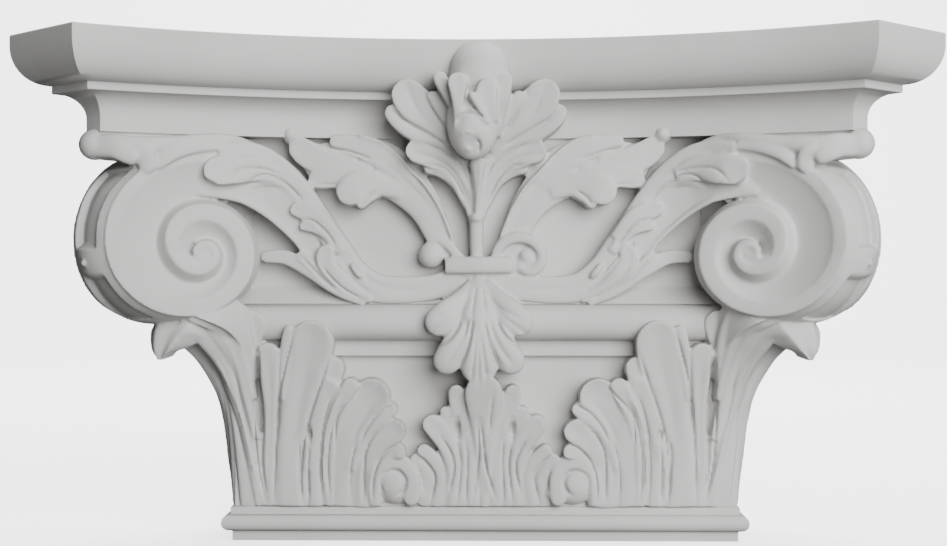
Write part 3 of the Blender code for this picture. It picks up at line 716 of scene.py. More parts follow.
def innerLeaf():
    # leaf between the angle leaf and the axis, with its curl
    ground = ((340, leafFoot, 36, 4.2), (344, 450, 35, 8.2), (360, 408, 29, 13.0))
    lobe(lowerAxis, ground, crown=0.02)
    innerLobes = (
        (((304, leafFoot, 4, 4), (303, 465, 4.5, 6.5), (303.5, 440, 3.5, 9), (308.5, 414, 5.5, 11.5),
          (312.5, 391, 5.5, 14.5)), 0.3),
        (((315, leafFoot, 7, 5), (315.5, 450, 7, 8), (320.5, 420, 8.5, 11.5), (326, 400, 11, 15),
          (330, 379.5, 11.5, 18.5)), 1.4),
        (((330, leafFoot, 4, 5), (330, 460, 5, 8.5), (334, 430, 6, 11.5), (342, 405, 8, 15.5),
          (354, 379.5, 9.5, 19.5)), 0.8),
        (((342, leafFoot, 9, 5), (346, 450, 12, 9), (359, 415, 17, 14), (372, 396, 19, 18),
          (381, 382, 19, 20.5)), 3.4),
        (((350, 470, 6, 8), (360, 440, 7, 11), (374, 422, 7.5, 14), (396, 406, 7.5, 17)), 1.0),
        (((362, leafFoot, 7, 5), (366, 470, 9, 8), (378, 445, 12, 12), (403, 425, 12, 17)), 2.2),
        (((376, leafFoot, 6, 5), (377, 480, 7, 7), (383, 462, 8, 9.5), (394, 452, 8, 12),
          (406, 454, 7, 14)), 1.0))
    for rows, dish in innerLobes:
        lobe(lowerAxis, rows, dish=dish)
    # curl of the inner leaf, wound round its eye
    spotBall(lowerAxis, 397, 483, -1.6, 23, 11.5, 21.5)
    spotBall(lowerAxis, 419, 492, 1, 7, 6.5, 9)
    curl = ((375, leafFoot, 5, 6), (374.5, 488, 6, 8.2), (379.5, 470, 7.5, 9.6), (392, 462, 8, 10.2),
            (405, 466.5, 8.5, 10), (411, 479, 8.7, 9.6), (412, 493, 8, 8.8), (410.5, leafFoot, 7, 8))
    lobe(lowerAxis, curl, crown=0.04, roll=1.2)
    for end in (471.5, 494.5):
        lobe(lowerAxis, ((394, 483, 11.7, 9.4), (394, end, 11.7, 9.2)), crown=0.1, roll=1.4)


def axisLeaf():
    # leaf in the middle of the neck
    ground = ((485, leafFoot, 62, 4.2), (485, 470, 56, 7.0), (485, 440, 42, 10.0), (485, 405, 31, 14.5))
    lobe(lowerAxis, ground, crown=0.02, mirrored=False)
    axisLobes = (
        (((474, leafFoot, 6, 5), (470, 460, 8, 9), (463, 425, 8.5, 14), (457.5, 400, 8.5, 18.5),
          (456, 385.5, 7.5, 22)), 0.8),
        (((462, leafFoot, 4, 5), (460, 470, 5, 8), (455, 440, 5, 11), (448, 420, 5.5, 14.5),
          (444.5, 407, 5.5, 17)), 0.5),
        (((452, leafFoot, 5, 5), (454, 475, 7, 8), (449, 450, 9, 11.5), (438, 431, 10.5, 15),
          (426, 418, 10, 17.5)), 1.4),
        (((436, leafFoot, 5, 4.5), (440, 478, 6, 7), (433, 460, 7, 10), (419, 447, 6.5, 13)), 0.9),
        (((424, leafFoot, 5, 4), (428, 482, 6, 6), (423, 466, 5.5, 8.5), (412, 455.5, 4.5, 10.5)), 0.4))
    for rows, dish in axisLobes:
        lobe(lowerAxis, rows, dish=dish)
    middle = ((485, leafFoot, 4, 5.5), (485, 468, 7, 9.5), (485, 430, 13, 15), (484.5, 403, 18, 22),
              (484, 376, 21, 29))
    lobe(lowerAxis, middle, mirrored=False, dish=0.8)


def shellLeaf():
    # five lobed leaf that hangs from the band, and the short stalk over it
    sideLobes = (
        ((474, 282, 6, 14), (462, 299, 10, 23), (447, 314, 14, 28.5), (429, 332, 15.5, 28)),
        ((475, 290, 6, 18), (465, 325, 11, 28), (453, 350, 14, 30), (440, 373, 14, 27)))
    for rows in sideLobes:
        lobe(shellAxis, rows, roll=2.8, crown=0.2)
    middle = ((479, 277, 7, 12), (479, 318, 11, 30), (479, 355, 17, 31), (479.5, 384, 22, 27))
    lobe(shellAxis, middle, mirrored=False, roll=2.8, crown=0.16)
    stalk = ((478.5, 276, 6, 12), (478.5, 290, 11, 20), (478.5, 312, 16, 28), (478.5, 328, 12, 31.5))
    lobe(shellAxis, stalk, mirrored=False, crown=0.3)


def clasp():
    # band over the stem in two strips, and the stalk that rises from it
    strips = (
        ((511, 265, 8, 15), (480, 265, 8.2, 17.5), (448, 265, 8, 15)),
        ((444, 266, 8, 15), (480, 265, 8.2, 17.5), (513, 265, 8, 15)))
    for rows in strips:
        lobe(upperAxis, rows, crown=0.2, roll=1.4, mirrored=False)
    stalk = ((476, 262, 6, 13), (475.5, 242, 7, 14.5), (475.5, 212, 7, 16.5))
    lobe(upperAxis, stalk, crown=0.5, roll=2.0, mirrored=False)
    # left button with its band, right button wound as a small curl
    leftBand = ((462, 263, 6, 13.5), (455, 254, 5, 13.5), (448, 246, 5, 13), (438, 240, 4.5, 12),
                (428, 239, 4, 10.5))
    rightCurl = ((494, 262, 5, 13.5), (497, 249, 5, 14), (507, 240, 5.5, 14.5), (520, 237.5, 5.5, 15),
                 (532, 241, 5.5, 15), (540, 250, 5.5, 14.5), (541, 261, 5.5, 14), (533, 270, 5.5, 13.5),
                 (523, 270, 4.5, 13), (516, 264, 4, 13))
    for button, rows in (((430, 255, 7, 13, 8.5), leftBand), ((527, 259, 5, 15.5, 7.5), rightCurl)):
        spotBall(upperAxis, *button, mirrored=False)
        lobe(upperAxis, rows, crown=0.3, mirrored=False)
    for eye in ((524, 256, 9, 6.5, 5.0), (514, 268, 4, 9, 8.0)):
        spotBall(upperAxis, *eye, mirrored=False)
    ring = place(upperAxis, 476, 219, 14)
    ball((0.0, hornForward - 9, ring[2]), (5.0, 9.5, 2.6), mirrored=False)


def flower():
    # bud: dome behind, ovoid body with its chin, and the petals that open over it
    bud = ((479.5, 72, 31, 31, 18.5, 31), (472.5, 122, 33, 26.5, 17.0, 38), (469.5, 147.5, 41.5, 5.0, 4.4))
    for spot in bud:
        spotBall(upperAxis, *spot, mirrored=False)
    petals = (
        (((456, 108, 5, 40), (448, 93, 6.5, 43.5), (441, 80, 7, 45.5), (437, 71, 6.5, 46)), 0.6),
        (((460, 128, 7, 46), (458.5, 110, 5.5, 50.5), (457.5, 96, 6.5, 53), (457.5, 84, 9.5, 54.5),
          (456, 72, 10, 55)), 1.6),
        (((489, 122, 9, 45), (487, 106, 10, 50), (486.5, 92, 10.5, 52.5), (489, 78, 9.5, 53)), 1.6),
        (((495, 136, 5, 29), (499, 114, 6, 38), (502, 98, 7, 43.5), (505, 83, 7, 46),
          (506, 72, 6.5, 46.5)), 0.6),
        (((486, 124, 3.5, 49), (481, 110, 4, 52.5), (474, 98, 4.5, 54.5), (469.5, 92, 4.2, 55)), 0.0))
    for rows, dish in petals:
        lobe(upperAxis, rows, floor=12.0, roll=1.8, crown=0.16, mirrored=False, dish=dish)
    # leaves under the bud
    ground = ((475, 200, 5, 12), (463, 172, 9, 15), (441, 143, 18, 20), (414, 112, 22, 26))
    lobe(upperAxis, ground, crown=0.05)
    leaves = (
        (((454, 130, 6, 26), (443, 113, 7, 31), (434, 100, 7, 34.5), (429, 91, 6, 36)), 0.4),
        (((462, 150, 8, 20), (440, 129, 14, 27), (421, 110, 18, 32.5), (408, 95, 17, 36.5),
          (401, 79, 13, 38)), 2.6),
        (((462, 152, 7, 19), (436, 139, 10, 24), (413, 128, 11.5, 29), (397, 117, 10, 32),
          (387, 106, 7, 33)), 0.8),
        (((471, 215, 5, 13), (466, 190, 8, 16), (450, 165, 12, 20), (430, 153, 14, 24.5),
          (405, 149, 10.5, 28)), 1.6),
        (((467, 205, 5, 13), (456, 182, 7, 16), (440, 170, 7, 19), (423, 167, 5.5, 21.5)), 0.6))
    for rows, dish in leaves:
        lobe(upperAxis, rows, floor=-3.0, roll=1.5, dish=dish)
    # funnel that carries the bud, and filling between the leaves
    funnel = ((475.3, 216, 1.5, 16), (475.5, 198, 3.2, 18.5), (476.5, 178, 6, 22.5), (477, 156, 9, 29))
    lobe(upperAxis, funnel, crown=0.6, mirrored=False)
    fillers = ((423, 170, 6, 7), (468.5, 275, 7, 7), (319, 243, 8, 6), (462, 160, 14, 9))
    for spot in fillers:
        spotBall(upperAxis, *spot)


def outerSpray():
    # channel that unrolls from the volute, below the leaf lobes
    hollow = ((318, 262, 5, 12), (303, 236, 10, 14), (286, 213, 13, 16.5), (262, 196, 13, 21.5),
              (238, 188, 14, 29), (214, 181, 16, 35), (200, 180, 16, 37.8), (188, 181, 14, 39.4))
    lobe(upperAxis, hollow, crown=-0.08, roll=0.6, side=True)
    rib = ((303.3, 256, 2, 14), (295, 242.5, 2.3, 15.5), (278.3, 226, 2.4, 18.5), (260, 211.5, 2.6, 23),
           (241.7, 201, 2.8, 28.6), (221.7, 194, 3, 32.8), (207, 192.5, 3, 36), (195, 193, 2.8, 38.6),
           (183, 196, 2.4, 39.8), (172, 202, 2, 40))
    lobe(upperAxis, rib, crown=0.35, side=True)
    # main stem and its leaf lobes
    stem = ((464, 258, 7, 11), (459, 270, 10, 11), (449, 281, 12, 11), (434, 287, 12.5, 11.5),
            (420, 289, 13, 12), (396, 290, 13.5, 12.5), (372, 287, 14.5, 13),
            (352, 272, 14, 13.5), (338, 250, 12, 14.5), (322, 226, 12, 16), (304, 200, 12, 18),
            (284, 178, 14, 21), (258, 162, 17, 27), (232, 158, 19, 34.5), (215, 160, 15, 41))
    lobe(upperAxis, stem, crown=0.08, side=True)
    lobes = (
        (((276, 176, 8, 24), (252, 168, 13, 31), (228, 169, 15, 40), (202, 171.5, 12.5, 46.5)), 2.0),
        (((250, 152, 6, 29), (236, 148, 7, 34), (215, 148, 5.5, 42)), 0.0),
        (((305, 197, 6, 18), (285, 182, 6.5, 21), (264, 179, 6.5, 24.5), (249, 182, 6, 26.5),
          (239, 186.5, 4.5, 28)), 0.8),
        (((335, 240, 8, 16.5), (318, 220, 10, 19), (303, 211, 9.5, 20), (288.5, 208.5, 5.5, 21)), 1.6),
        (((340, 252, 5, 16), (326, 234, 6, 17.5), (311, 227, 5.5, 18.5), (298, 226, 4, 19)), 0.8),
        (((372, 296, 8, 13), (348, 286, 9, 15), (333, 272, 10, 17.5), (324, 259, 9.5, 18.5),
          (326, 245, 6.5, 19)), 2.0),
        (((364, 303, 4, 12), (336, 290, 6, 14), (308, 270, 7.5, 15), (284, 257.5, 7, 14.5),
          (259, 257, 5.5, 13.5)), 1.2),
        (((331, 290, 4, 14), (315, 272, 5, 15.5), (303, 259, 5.5, 16), (294, 255.5, 4, 15.5)), 0.8),
        (((350, 264, 2.2, 16.5), (356, 272, 3.2, 17), (361, 278, 2.2, 16)), 0.0))
    for rows, dish in lobes:
        lobe(upperAxis, rows, dish=dish)


def upperSpray():
    # spray that rises from the band to the abacus
    broad = ((443, 258, 9, 10), (437, 235, 13, 11), (424, 207, 17, 12), (404, 184, 22, 12.5),
             (380, 168, 27, 12.5), (352, 161, 25, 12.5), (326, 163, 22, 12), (303, 155, 15, 12))
    lobe(upperAxis, broad, crown=0.06)
    upperLobes = (
        (((412, 186, 9, 13), (392, 166, 12, 14.5), (368, 150, 12, 15.5), (346, 143, 9, 16),
          (328, 140, 5.5, 16.5)), 0.8),
        (((352, 166, 12, 14), (326, 162, 14.5, 14.5), (305, 153, 13.5, 15), (290, 139.5, 9.5, 15.5)), 1.4),
        (((370, 172, 10, 14), (342, 173, 12.5, 15), (320, 177.5, 11, 15.5), (307, 180, 7, 15.5)), 1.2),
        (((402, 190, 10, 13.5), (374, 183, 12.5, 15.5), (353, 187, 15, 18), (342, 203, 13, 18.5)), 0.6),
        (((378, 190, 6.5, 14), (365, 198, 6, 16), (357, 207.5, 5, 17)), 0.0))
    for rows, dish in upperLobes:
        lobe(upperAxis, rows, dish=dish)
    edge = ((454.5, 250, 1.4, 11.5), (450, 235, 1.7, 12.5), (439.5, 209, 1.8, 13.5), (426, 187, 1.9, 14.5),
            (412, 172, 1.8, 15), (394, 152.5, 1.8, 15.5), (377, 141, 1.8, 16), (357, 135, 1.6, 16.5))
    lobe(upperAxis, edge, crown=0.4)
    spotBall(upperAxis, 290, 135, 9, 9.5, 9.0)


print("stage: ornament skins")
scroll()
drum()
web()
ornament.shift = capital["neckShift"]
cornerLeaf()
angleLeaf()
innerLeaf()
axisLeaf()
ornament.shift = capital["shellShift"]
shellLeaf()
ornament.shift = 0.0
clasp()
flower()
outerSpray()
upperSpray()
hornKnob()


def settle(thing):
    graph = bpy.context.evaluated_depsgraph_get()
    mesh = bpy.data.meshes.new_from_object(thing.evaluated_get(graph))
    thing.modifiers.clear()
    thing.data = mesh
    return thing


def fuse():
    thing = meshObject("carving", np.vstack(ornament.points), ornament.faces)
    remesh = thing.modifiers.new("fuse", "REMESH")
    remesh.mode = "VOXEL"
    remesh.voxel_size = 1.0 * capital["voxel"] * metre
    soften = thing.modifiers.new("soften", "SMOOTH")
    soften.factor = 0.5
    soften.iterations = 2
    return settle(thing)


# Chisel: spots of the upper ornament that run softly into each other, as elevation points with
# a reach, and how many rounds of smoothing they get
blend = {
    "spots": ((207, 188, 11), (188, 197, 9), (233, 191, 8)),
    "rounds": 30,
    "quickRounds": 8,
}


class Chisel:
    # moves the fused skin along its depth: grooves, ridges and dishes drawn in the elevation
    def __init__(self, thing):
        self.mesh = thing.data
        flat = np.empty(len(self.mesh.vertices) * 3)
        self.mesh.vertices.foreach_get("co", flat)
        self.co = flat.reshape(-1, 3) / metre
        self.co[:, 1] += midDepth
        self.move = np.zeros(len(self.co))
        self.sideMove = np.zeros(len(self.co))
        out = np.abs(self.co[:, 0]) - neckWidth / 2.0
        self.onSide = out > hornForward - self.co[:, 1]

    def spots(self, axis, shift, folded, side):
        x = self.co[:, 0] - shift
        ahead = np.abs(x) if folded else x
        proud = hornForward - self.co[:, 1]
        if side:
            ahead, proud = neckWidth / 2.0 + proud, np.abs(x) - neckWidth / 2.0
        scale = unit(np.clip(proud, -5.0, 190.0))
        px = axis - ahead / scale if folded else axis + ahead / scale
        return px, elevation["eye"] - (self.co[:, 2] - eyeHeight) / scale, proud

    def near(self, line, px, py, reach, chosen):
        low, high = line.min(axis=0) - reach, line.max(axis=0) + reach
        chosen = chosen & (px > low[0]) & (px < high[0]) & (py > low[1]) & (py < high[1])
        return np.nonzero(chosen)[0]

    def carve(self, axis, line, width, amount, shift=0.0, folded=True, side=False, lowest=1.0,
              sharp=1.6, taper=0.18):
        # groove for a negative amount and ridge for a positive one, in millimetres
        line = smoothRows(line, 4)
        for turned in ((False, True) if side else (False,)):
            px, py, proud = self.spots(axis, shift, folded, turned)
            chosen = (self.onSide if turned else ~self.onSide) & (proud > lowest)
            picked = self.near(line, px, py, 2.5 * width, chosen)
            if not len(picked):
                continue
            qx, qy = px[picked], py[picked]
            best = np.full(len(picked), 1e9)
            along = np.zeros(len(picked))
            steps = np.hypot(np.diff(line[:, 0]), np.diff(line[:, 1]))
            run = 0.0
            for start, end, length in zip(line[:-1], line[1:], steps):
                d = end - start
                t = np.clip(((qx - start[0]) * d[0] + (qy - start[1]) * d[1]) / length ** 2, 0.0, 1.0)
                away = np.hypot(qx - start[0] - t * d[0], qy - start[1] - t * d[1])
                closer = away < best
                best = np.where(closer, away, best)
                along = np.where(closer, (run + t * length) / steps.sum(), along)
                run += length
            fade = np.clip(np.minimum(along, 1.0 - along) / taper, 0.25, 1.0)
            shape = np.exp(-(best / width) ** sharp) * fade * amount
            (self.sideMove if turned else self.move)[picked] += shape

    def dish(self, axis, px0, py0, wide, tall, amount, folded=True, lowest=1.0):
        px, py, proud = self.spots(axis, 0.0, folded, False)
        far = ((px - px0) / wide) ** 2 + ((py - py0) / tall) ** 2
        picked = (~self.onSide) & (proud > lowest) & (far < 6.0)
        self.move[picked] += amount * np.exp(-far[picked] ** 1.2)

    def ease(self, axis, px0, py0, reach, rounds):
        # relaxes the skin round a spot where two forms should run into each other
        px, py, proud = self.spots(axis, 0.0, True, False)
        away = np.hypot(px - px0, py - py0) / reach
        weight = np.where((proud > 3.0) & ~self.onSide, np.clip(1.6 - 1.6 * away, 0.0, 0.9), 0.0)
        edges = np.empty(len(self.mesh.edges) * 2, dtype=np.int64)
        self.mesh.edges.foreach_get("vertices", edges)
        edges = edges.reshape(-1, 2)
        edges = edges[(weight[edges] > 0.0).any(axis=1)]
        count = len(self.co)
        degree = np.maximum(np.bincount(edges.ravel(), minlength=count), 1)
        for i in range(rounds):
            for k in range(3):
                values = self.co[:, k]
                total = (np.bincount(edges[:, 0], weights=values[edges[:, 1]], minlength=count)
                         + np.bincount(edges[:, 1], weights=values[edges[:, 0]], minlength=count))
                self.co[:, k] += weight * (total / degree - values)

    def finish(self):
        self.co[:, 1] -= self.move
        self.co[:, 0] += np.sign(self.co[:, 0]) * self.sideMove
        self.co[:, 1] -= midDepth
        self.mesh.vertices.foreach_set("co", (self.co * metre).ravel())
        self.mesh.update()


def cutAll(chisel, axis, grooves, **usual):
    # each groove is a line, its width and its depth, and what differs from the usual
    for line, width, amount, *own in grooves:
        chisel.carve(axis, line, width, amount, **usual, **(own[0] if own else {}))


def carveSideLeaves(chisel):
    # corner leaf, with long flutes that fan out, and angle leaf
    grooves = (
        (((257, 500), (243, 450), (233, 410), (222, 382), (206, 355), (190, 338)), 2.4, -1.1,
         {"taper": 0.4}),
        (((250, 470), (239, 420), (231, 390), (219, 362), (204, 342)), 2.4, -1.1, {"taper": 0.4}),
        (((249, 450), (240, 405), (235, 375), (226, 350), (214, 332)), 2.4, -1.1, {"taper": 0.4}),
        (((262, 503), (249, 450), (240, 415), (228, 384), (217, 362), (206, 346)), 1.5, 0.9),
        (((253.7, 398), (254.3, 432), (258.3, 471.6), (265.6, 502)), 1.4, -2.2),
        (((263, 400), (263, 432), (261.6, 465), (267.5, 502)), 1.4, -1.9),
        (((256.5, 352), (256.5, 372), (257.5, 400)), 3.0, -7.0,
         {"lowest": 4.0, "sharp": 3.0, "taper": 0.3}),
        (((279.5, 357), (278.5, 391), (275.5, 440), (273.5, 502)), 1.4, -2.0),
        (((294, 331), (288, 353), (283, 374), (279, 396), (277, 440)), 1.5, -2.4),
        (((331, 352), (322, 380), (311, 412), (303, 445), (300, 490)), 1.5, -2.2),
        (((312, 335), (306, 375), (297, 420), (291, 490)), 7.0, -1.4, {"sharp": 2.0, "taper": 0.4}),
        (((267, 355), (270, 385), (270, 430), (268.5, 490)), 3.4, -0.7))
    cutAll(chisel, lowerAxis, grooves, shift=capital["neckShift"], side=True)


def carveInnerLeaf(chisel):
    grooves = (
        (((301.2, 437), (298.6, 458), (301.9, 503)), 1.6, -2.4),
        (((309, 428), (309, 442)), 2.6, -5.5, {"sharp": 3.0, "taper": 0.4, "lowest": 3.0}),
        (((309, 446), (308, 470), (309, 502)), 1.3, -1.6),
        (((326, 502), (323.6, 471), (324.3, 452), (326.3, 432), (331.6, 412), (340.8, 391)), 1.3, 1.5),
        (((321.5, 502), (319.5, 471), (320.5, 447), (323, 425), (328.5, 404), (337, 388)), 1.3, -1.6),
        (((330, 502), (327.8, 471), (328.4, 452), (331, 432), (336.6, 413), (345, 396)), 1.3, -1.6),
        (((364, 384.5), (352, 398), (342, 408), (336, 422), (335, 450)), 1.4, -1.7),
        (((388, 392), (370, 410), (357, 432), (350, 460)), 3.2, -0.9, {"taper": 0.35}),
        (((398, 403), (380, 413), (368, 427), (360, 444)), 1.5, -1.7),
        (((381.7, 426.7), (371, 440), (364.6, 458.4), (363.9, 502)), 1.4, -2.2),
        (((358, 438.6), (352, 458.4), (350, 478), (350.7, 502)), 1.3, -1.2),
        (((404, 443), (389, 450), (378, 464), (373, 482), (372.5, 502)), 1.4, -2.0),
        (((390, 470), (383, 475), (380.5, 484), (384, 494)), 1.2, -0.8),
        (((392, 470), (400, 472.5), (405.5, 481), (403, 491), (396, 496)), 1.9, -2.6, {"lowest": 4.0}))
    cutAll(chisel, lowerAxis, grooves, shift=capital["neckShift"])


def carveAxisLeaf(chisel):
    grooves = (
        (((441.5, 437.5), (450, 451), (454.3, 468), (448.8, 494.8)), 1.4, -2.2),
        (((417, 454.6), (426.8, 463), (435.4, 477.8), (431, 501)), 1.4, -2.0),
        (((458.5, 445), (461, 463), (460, 481), (457, 500)), 1.3, -1.7),
        (((466, 440), (467.5, 463), (466, 500)), 1.3, -1.5),
        (((457, 419), (458.5, 438)), 3.0, -5.5, {"sharp": 3.0, "taper": 0.4, "lowest": 4.0}),
        (((478, 418), (479.3, 451), (476.8, 475), (473, 502)), 1.3, -1.8, {"folded": False}),
        (((480.5, 418), (483, 439), (486.6, 469), (496.3, 500)), 1.3, -1.8, {"folded": False}),
        (((481, 452), (482.5, 475), (484.5, 502)), 5.5, -1.6, {"folded": False, "sharp": 3.0}),
        (((494, 393.6), (491, 414), (489.6, 432.6)), 1.5, -1.3, {"folded": False}))
    cutAll(chisel, lowerAxis, grooves, shift=capital["neckShift"])


def carveShell(chisel):
    grooves = (
        (((461, 317), (458.5, 326.5), (448.8, 340), (431, 349)), 2.0, -3.4),
        (((473, 317), (471, 336), (466, 353), (458, 370)), 2.0, -3.0),
        (((468, 300), (455, 316), (440, 328), (424, 338)), 2.6, -1.2),
        (((470, 296), (458, 308), (446, 315), (434, 320)), 2.2, -1.0),
        (((471, 315), (464, 335), (455, 352), (444, 366)), 2.6, -1.4),
        (((473, 322), (468, 340), (462, 355), (453, 371)), 1.6, -1.0),
        (((476, 318), (475.5, 345), (471, 384)), 2.2, -1.4),
        (((479, 316), (479, 345), (479, 388)), 1.6, -1.3, {"folded": False}),
        (((476, 285), (474, 300), (472, 316)), 1.8, -1.4))
    cutAll(chisel, shellAxis, grooves, shift=capital["shellShift"], lowest=6.0)


def carveFlower(chisel):
    leafGrooves = (
        (((405, 82), (410, 96), (417, 110), (428, 124)), 2.6, -1.0, {"taper": 0.4}),
        (((391, 110), (404, 120), (424, 131), (448, 146)), 1.5, -1.8),
        (((424, 92), (429, 104), (438, 119), (449, 132)), 1.5, -1.9),
        (((404, 122), (425, 134), (450, 148)), 1.6, -1.6),
        (((409, 152), (430, 157), (449, 168), (462, 188), (470, 210)), 2.2, -1.6),
        (((425, 164), (442, 167), (454, 180), (465, 202)), 1.5, -2.2),
        (((420, 142), (440, 150), (458, 162), (468, 182)), 1.6, -1.8))
    # fold of the middle petal and the two lids of the bud
    budGrooves = (
        (((467, 93), (471, 102), (478, 112), (484.5, 119)), 1.5, -2.4),
        (((455, 120), (462, 112), (472, 109.5), (482, 114)), 1.3, 1.3),
        (((456, 124), (463, 116), (472, 113.5), (481, 118)), 1.6, -1.5),
        (((460, 136), (466, 132), (473, 133)), 1.2, 0.9),
        (((480, 120), (490, 128), (492, 140)), 2.0, -0.8))
    # mouth of the bud in its dish, and the funnel
    mouthGrooves = (
        (((475.5, 138), (479.5, 144), (478.5, 152)), 1.5, -2.2),
        (((469.5, 163), (472.5, 185), (474.5, 207)), 1.3, -1.2),
        (((480, 163), (478.5, 185), (476.5, 207)), 1.3, 0.8))
    cutAll(chisel, upperAxis, leafGrooves, lowest=12.0)
    cutAll(chisel, upperAxis, budGrooves, folded=False, lowest=12.0)
    chisel.dish(upperAxis, 473.5, 146, 7.5, 9.5, -3.2, folded=False, lowest=20.0)
    cutAll(chisel, upperAxis, mouthGrooves, folded=False, lowest=12.0)


def carveSprays(chisel):
    # eye of the volute
    eyeGrooves = ((((195, 243), (191, 245), (189, 250), (190.5, 256)), 1.7, -2.8),)
    outerGrooves = (
        (((223, 181.7), (233, 171), (248, 167.5), (266.7, 170), (280, 175)), 1.5, -1.8),
        (((245, 187), (256, 176), (272, 176), (290, 188), (304, 204)), 1.4, -1.8),
        (((299, 219), (312, 221), (325, 232), (336, 248)), 1.4, -1.8),
        (((331, 246), (333, 258), (341, 270), (356, 284), (374, 296)), 2.4, -1.8),
        (((320, 264), (329, 277), (345, 291), (364, 300)), 1.5, -1.8),
        (((298, 256), (308, 265), (321, 279), (336, 291)), 1.3, -1.2),
        (((352, 262), (360, 274), (375, 284), (395, 290), (430, 289)), 2.6, -0.8))
    upperGrooves = (
        (((373, 160), (347, 151), (330, 148)), 1.5, -1.8),
        (((344, 184), (325, 184), (313, 183)), 1.4, -1.0),
        (((376, 190), (366, 197), (359, 206)), 1.3, -1.2),
        (((432, 222), (415, 196), (394, 180), (368, 170), (344, 166)), 3.4, -0.7, {"taper": 0.4}),
        (((441, 232), (427, 205), (410, 186), (390, 168), (372, 157)), 2.0, -0.8, {"taper": 0.4}))
    grooves = eyeGrooves + outerGrooves + upperGrooves
    cutAll(chisel, upperAxis, grooves, lowest=3.0)


# Plaster: colours, amounts, noise scales per metre and depths in metres that a user may change
plaster = {
    "colour": (0.51, 0.505, 0.497, 1.0),
    "shade": (0.465, 0.46, 0.452, 1.0),
    "shadeEnd": 0.3,
    "colourStart": 0.62,
    "roughness": 0.88,
    "sheen": 0.2,
    "cloudScale": 14.0,
    "grain": 0.12,
    "grainScale": 900.0,
    "grainDepth": 0.0002,
    "pits": 0.25,
    "pitScale": 160.0,
    "pitDepth": 0.0004,
    "pitEdge": (0.04, 0.10),
}


def addNode(tree, kind, values=None, **settings):
    # settings go to the node itself, values to its inputs by name or number
    node = tree.nodes.new(kind)
    for key, value in settings.items():
        setattr(node, key, value)
    for key, value in (values or {}).items():
        node.inputs[key].default_value = value
    return node


def connect(tree, joins):
    for source, output, target, entry in joins:
        tree.links.new(source.outputs[output], target.inputs[entry])


def plasterMaterial():
    p = plaster
    material = bpy.data.materials.new("plaster")
    material.use_nodes = True
    tree = material.node_tree
    shader = tree.nodes["Principled BSDF"]
    shader.inputs["Roughness"].default_value = p["roughness"]
    shader.inputs["Specular IOR Level"].default_value = p["sheen"]
    where = addNode(tree, "ShaderNodeTexCoord")
    cloud = addNode(tree, "ShaderNodeTexNoise", {"Scale": p["cloudScale"], "Detail": 6.0})
    ramp = addNode(tree, "ShaderNodeValToRGB")
    stops = ((p["shadeEnd"], p["shade"]), (p["colourStart"], p["colour"]))
    for element, (position, colour) in zip(ramp.color_ramp.elements, stops):
        element.position = position
        element.color = colour
    grain = addNode(tree, "ShaderNodeTexNoise", {"Scale": p["grainScale"], "Detail": 3.0})
    cells = addNode(tree, "ShaderNodeTexVoronoi", {"Scale": p["pitScale"]})
    edge = {"From Min": p["pitEdge"][0], "From Max": p["pitEdge"][1]}
    pit = addNode(tree, "ShaderNodeMapRange", edge)
    fine = addNode(tree, "ShaderNodeBump", {"Strength": p["grain"], "Distance": p["grainDepth"]})
    deep = addNode(tree, "ShaderNodeBump", {"Strength": p["pits"], "Distance": p["pitDepth"]})
    connect(tree, [(where, "Object", texture, "Vector") for texture in (cloud, grain, cells)])
    connect(tree, (
        (cloud, "Fac", ramp, "Fac"), (ramp, "Color", shader, "Base Color"),
        (cells, "Distance", pit, "Value"), (grain, "Fac", fine, "Height"),
        (pit, "Result", deep, "Height"), (fine, "Normal", deep, "Normal"),
        (deep, "Normal", shader, "Normal")))
    return material


# Unevenness of the cast: wave height and wave size in millimetres, and its seed
unevenness = {
    "Height": 0.2,
    "Size": 11.0,
    "Seed": 7,
}


def unevenTree():
    # nodes that push a surface along its normals by soft noise
    tree = bpy.data.node_groups.new("castUnevenness", "GeometryNodeTree")
    sockets = (("Geometry", "INPUT", "Geometry"), ("Height", "INPUT", "Float"),
               ("Size", "INPUT", "Float"), ("Seed", "INPUT", "Float"),
               ("Material", "INPUT", "Material"), ("Geometry", "OUTPUT", "Geometry"))
    for name, way, kind in sockets:
        tree.interface.new_socket(name, in_out=way, socket_type="NodeSocket" + kind)
    entry = addNode(tree, "NodeGroupInput")
    leave = addNode(tree, "NodeGroupOutput")
    noise = addNode(tree, "ShaderNodeTexNoise", {"Detail": 2.0}, noise_dimensions="4D")
    where = addNode(tree, "GeometryNodeInputPosition")
    normal = addNode(tree, "GeometryNodeInputNormal")
    scale = addNode(tree, "ShaderNodeMath", {0: 1.0 / metre}, operation="DIVIDE")
    centred = addNode(tree, "ShaderNodeMath", {1: 0.5}, operation="SUBTRACT")
    height = addNode(tree, "ShaderNodeMath", operation="MULTIPLY")
    small = addNode(tree, "ShaderNodeMath", {1: 2.0 * metre}, operation="MULTIPLY")
    push = addNode(tree, "ShaderNodeVectorMath", operation="SCALE")
    move = addNode(tree, "GeometryNodeSetPosition")
    real = addNode(tree, "GeometryNodeRealizeInstances")
    paint = addNode(tree, "GeometryNodeSetMaterial")
    connect(tree, (
        (entry, "Size", scale, 1), (entry, "Seed", noise, "W"), (scale, 0, noise, "Scale"),
        (where, 0, noise, "Vector"), (noise, "Fac", centred, 0), (centred, 0, height, 0),
        (entry, "Height", height, 1), (height, 0, small, 0), (normal, 0, push, 0),
        (small, 0, push, "Scale"), (entry, "Geometry", move, "Geometry"),
        (push, 0, move, "Offset"), (move, "Geometry", real, "Geometry"),
        (real, "Geometry", paint, "Geometry"), (entry, "Material", paint, "Material"),
        (paint, "Geometry", leave, "Geometry")))
    return tree


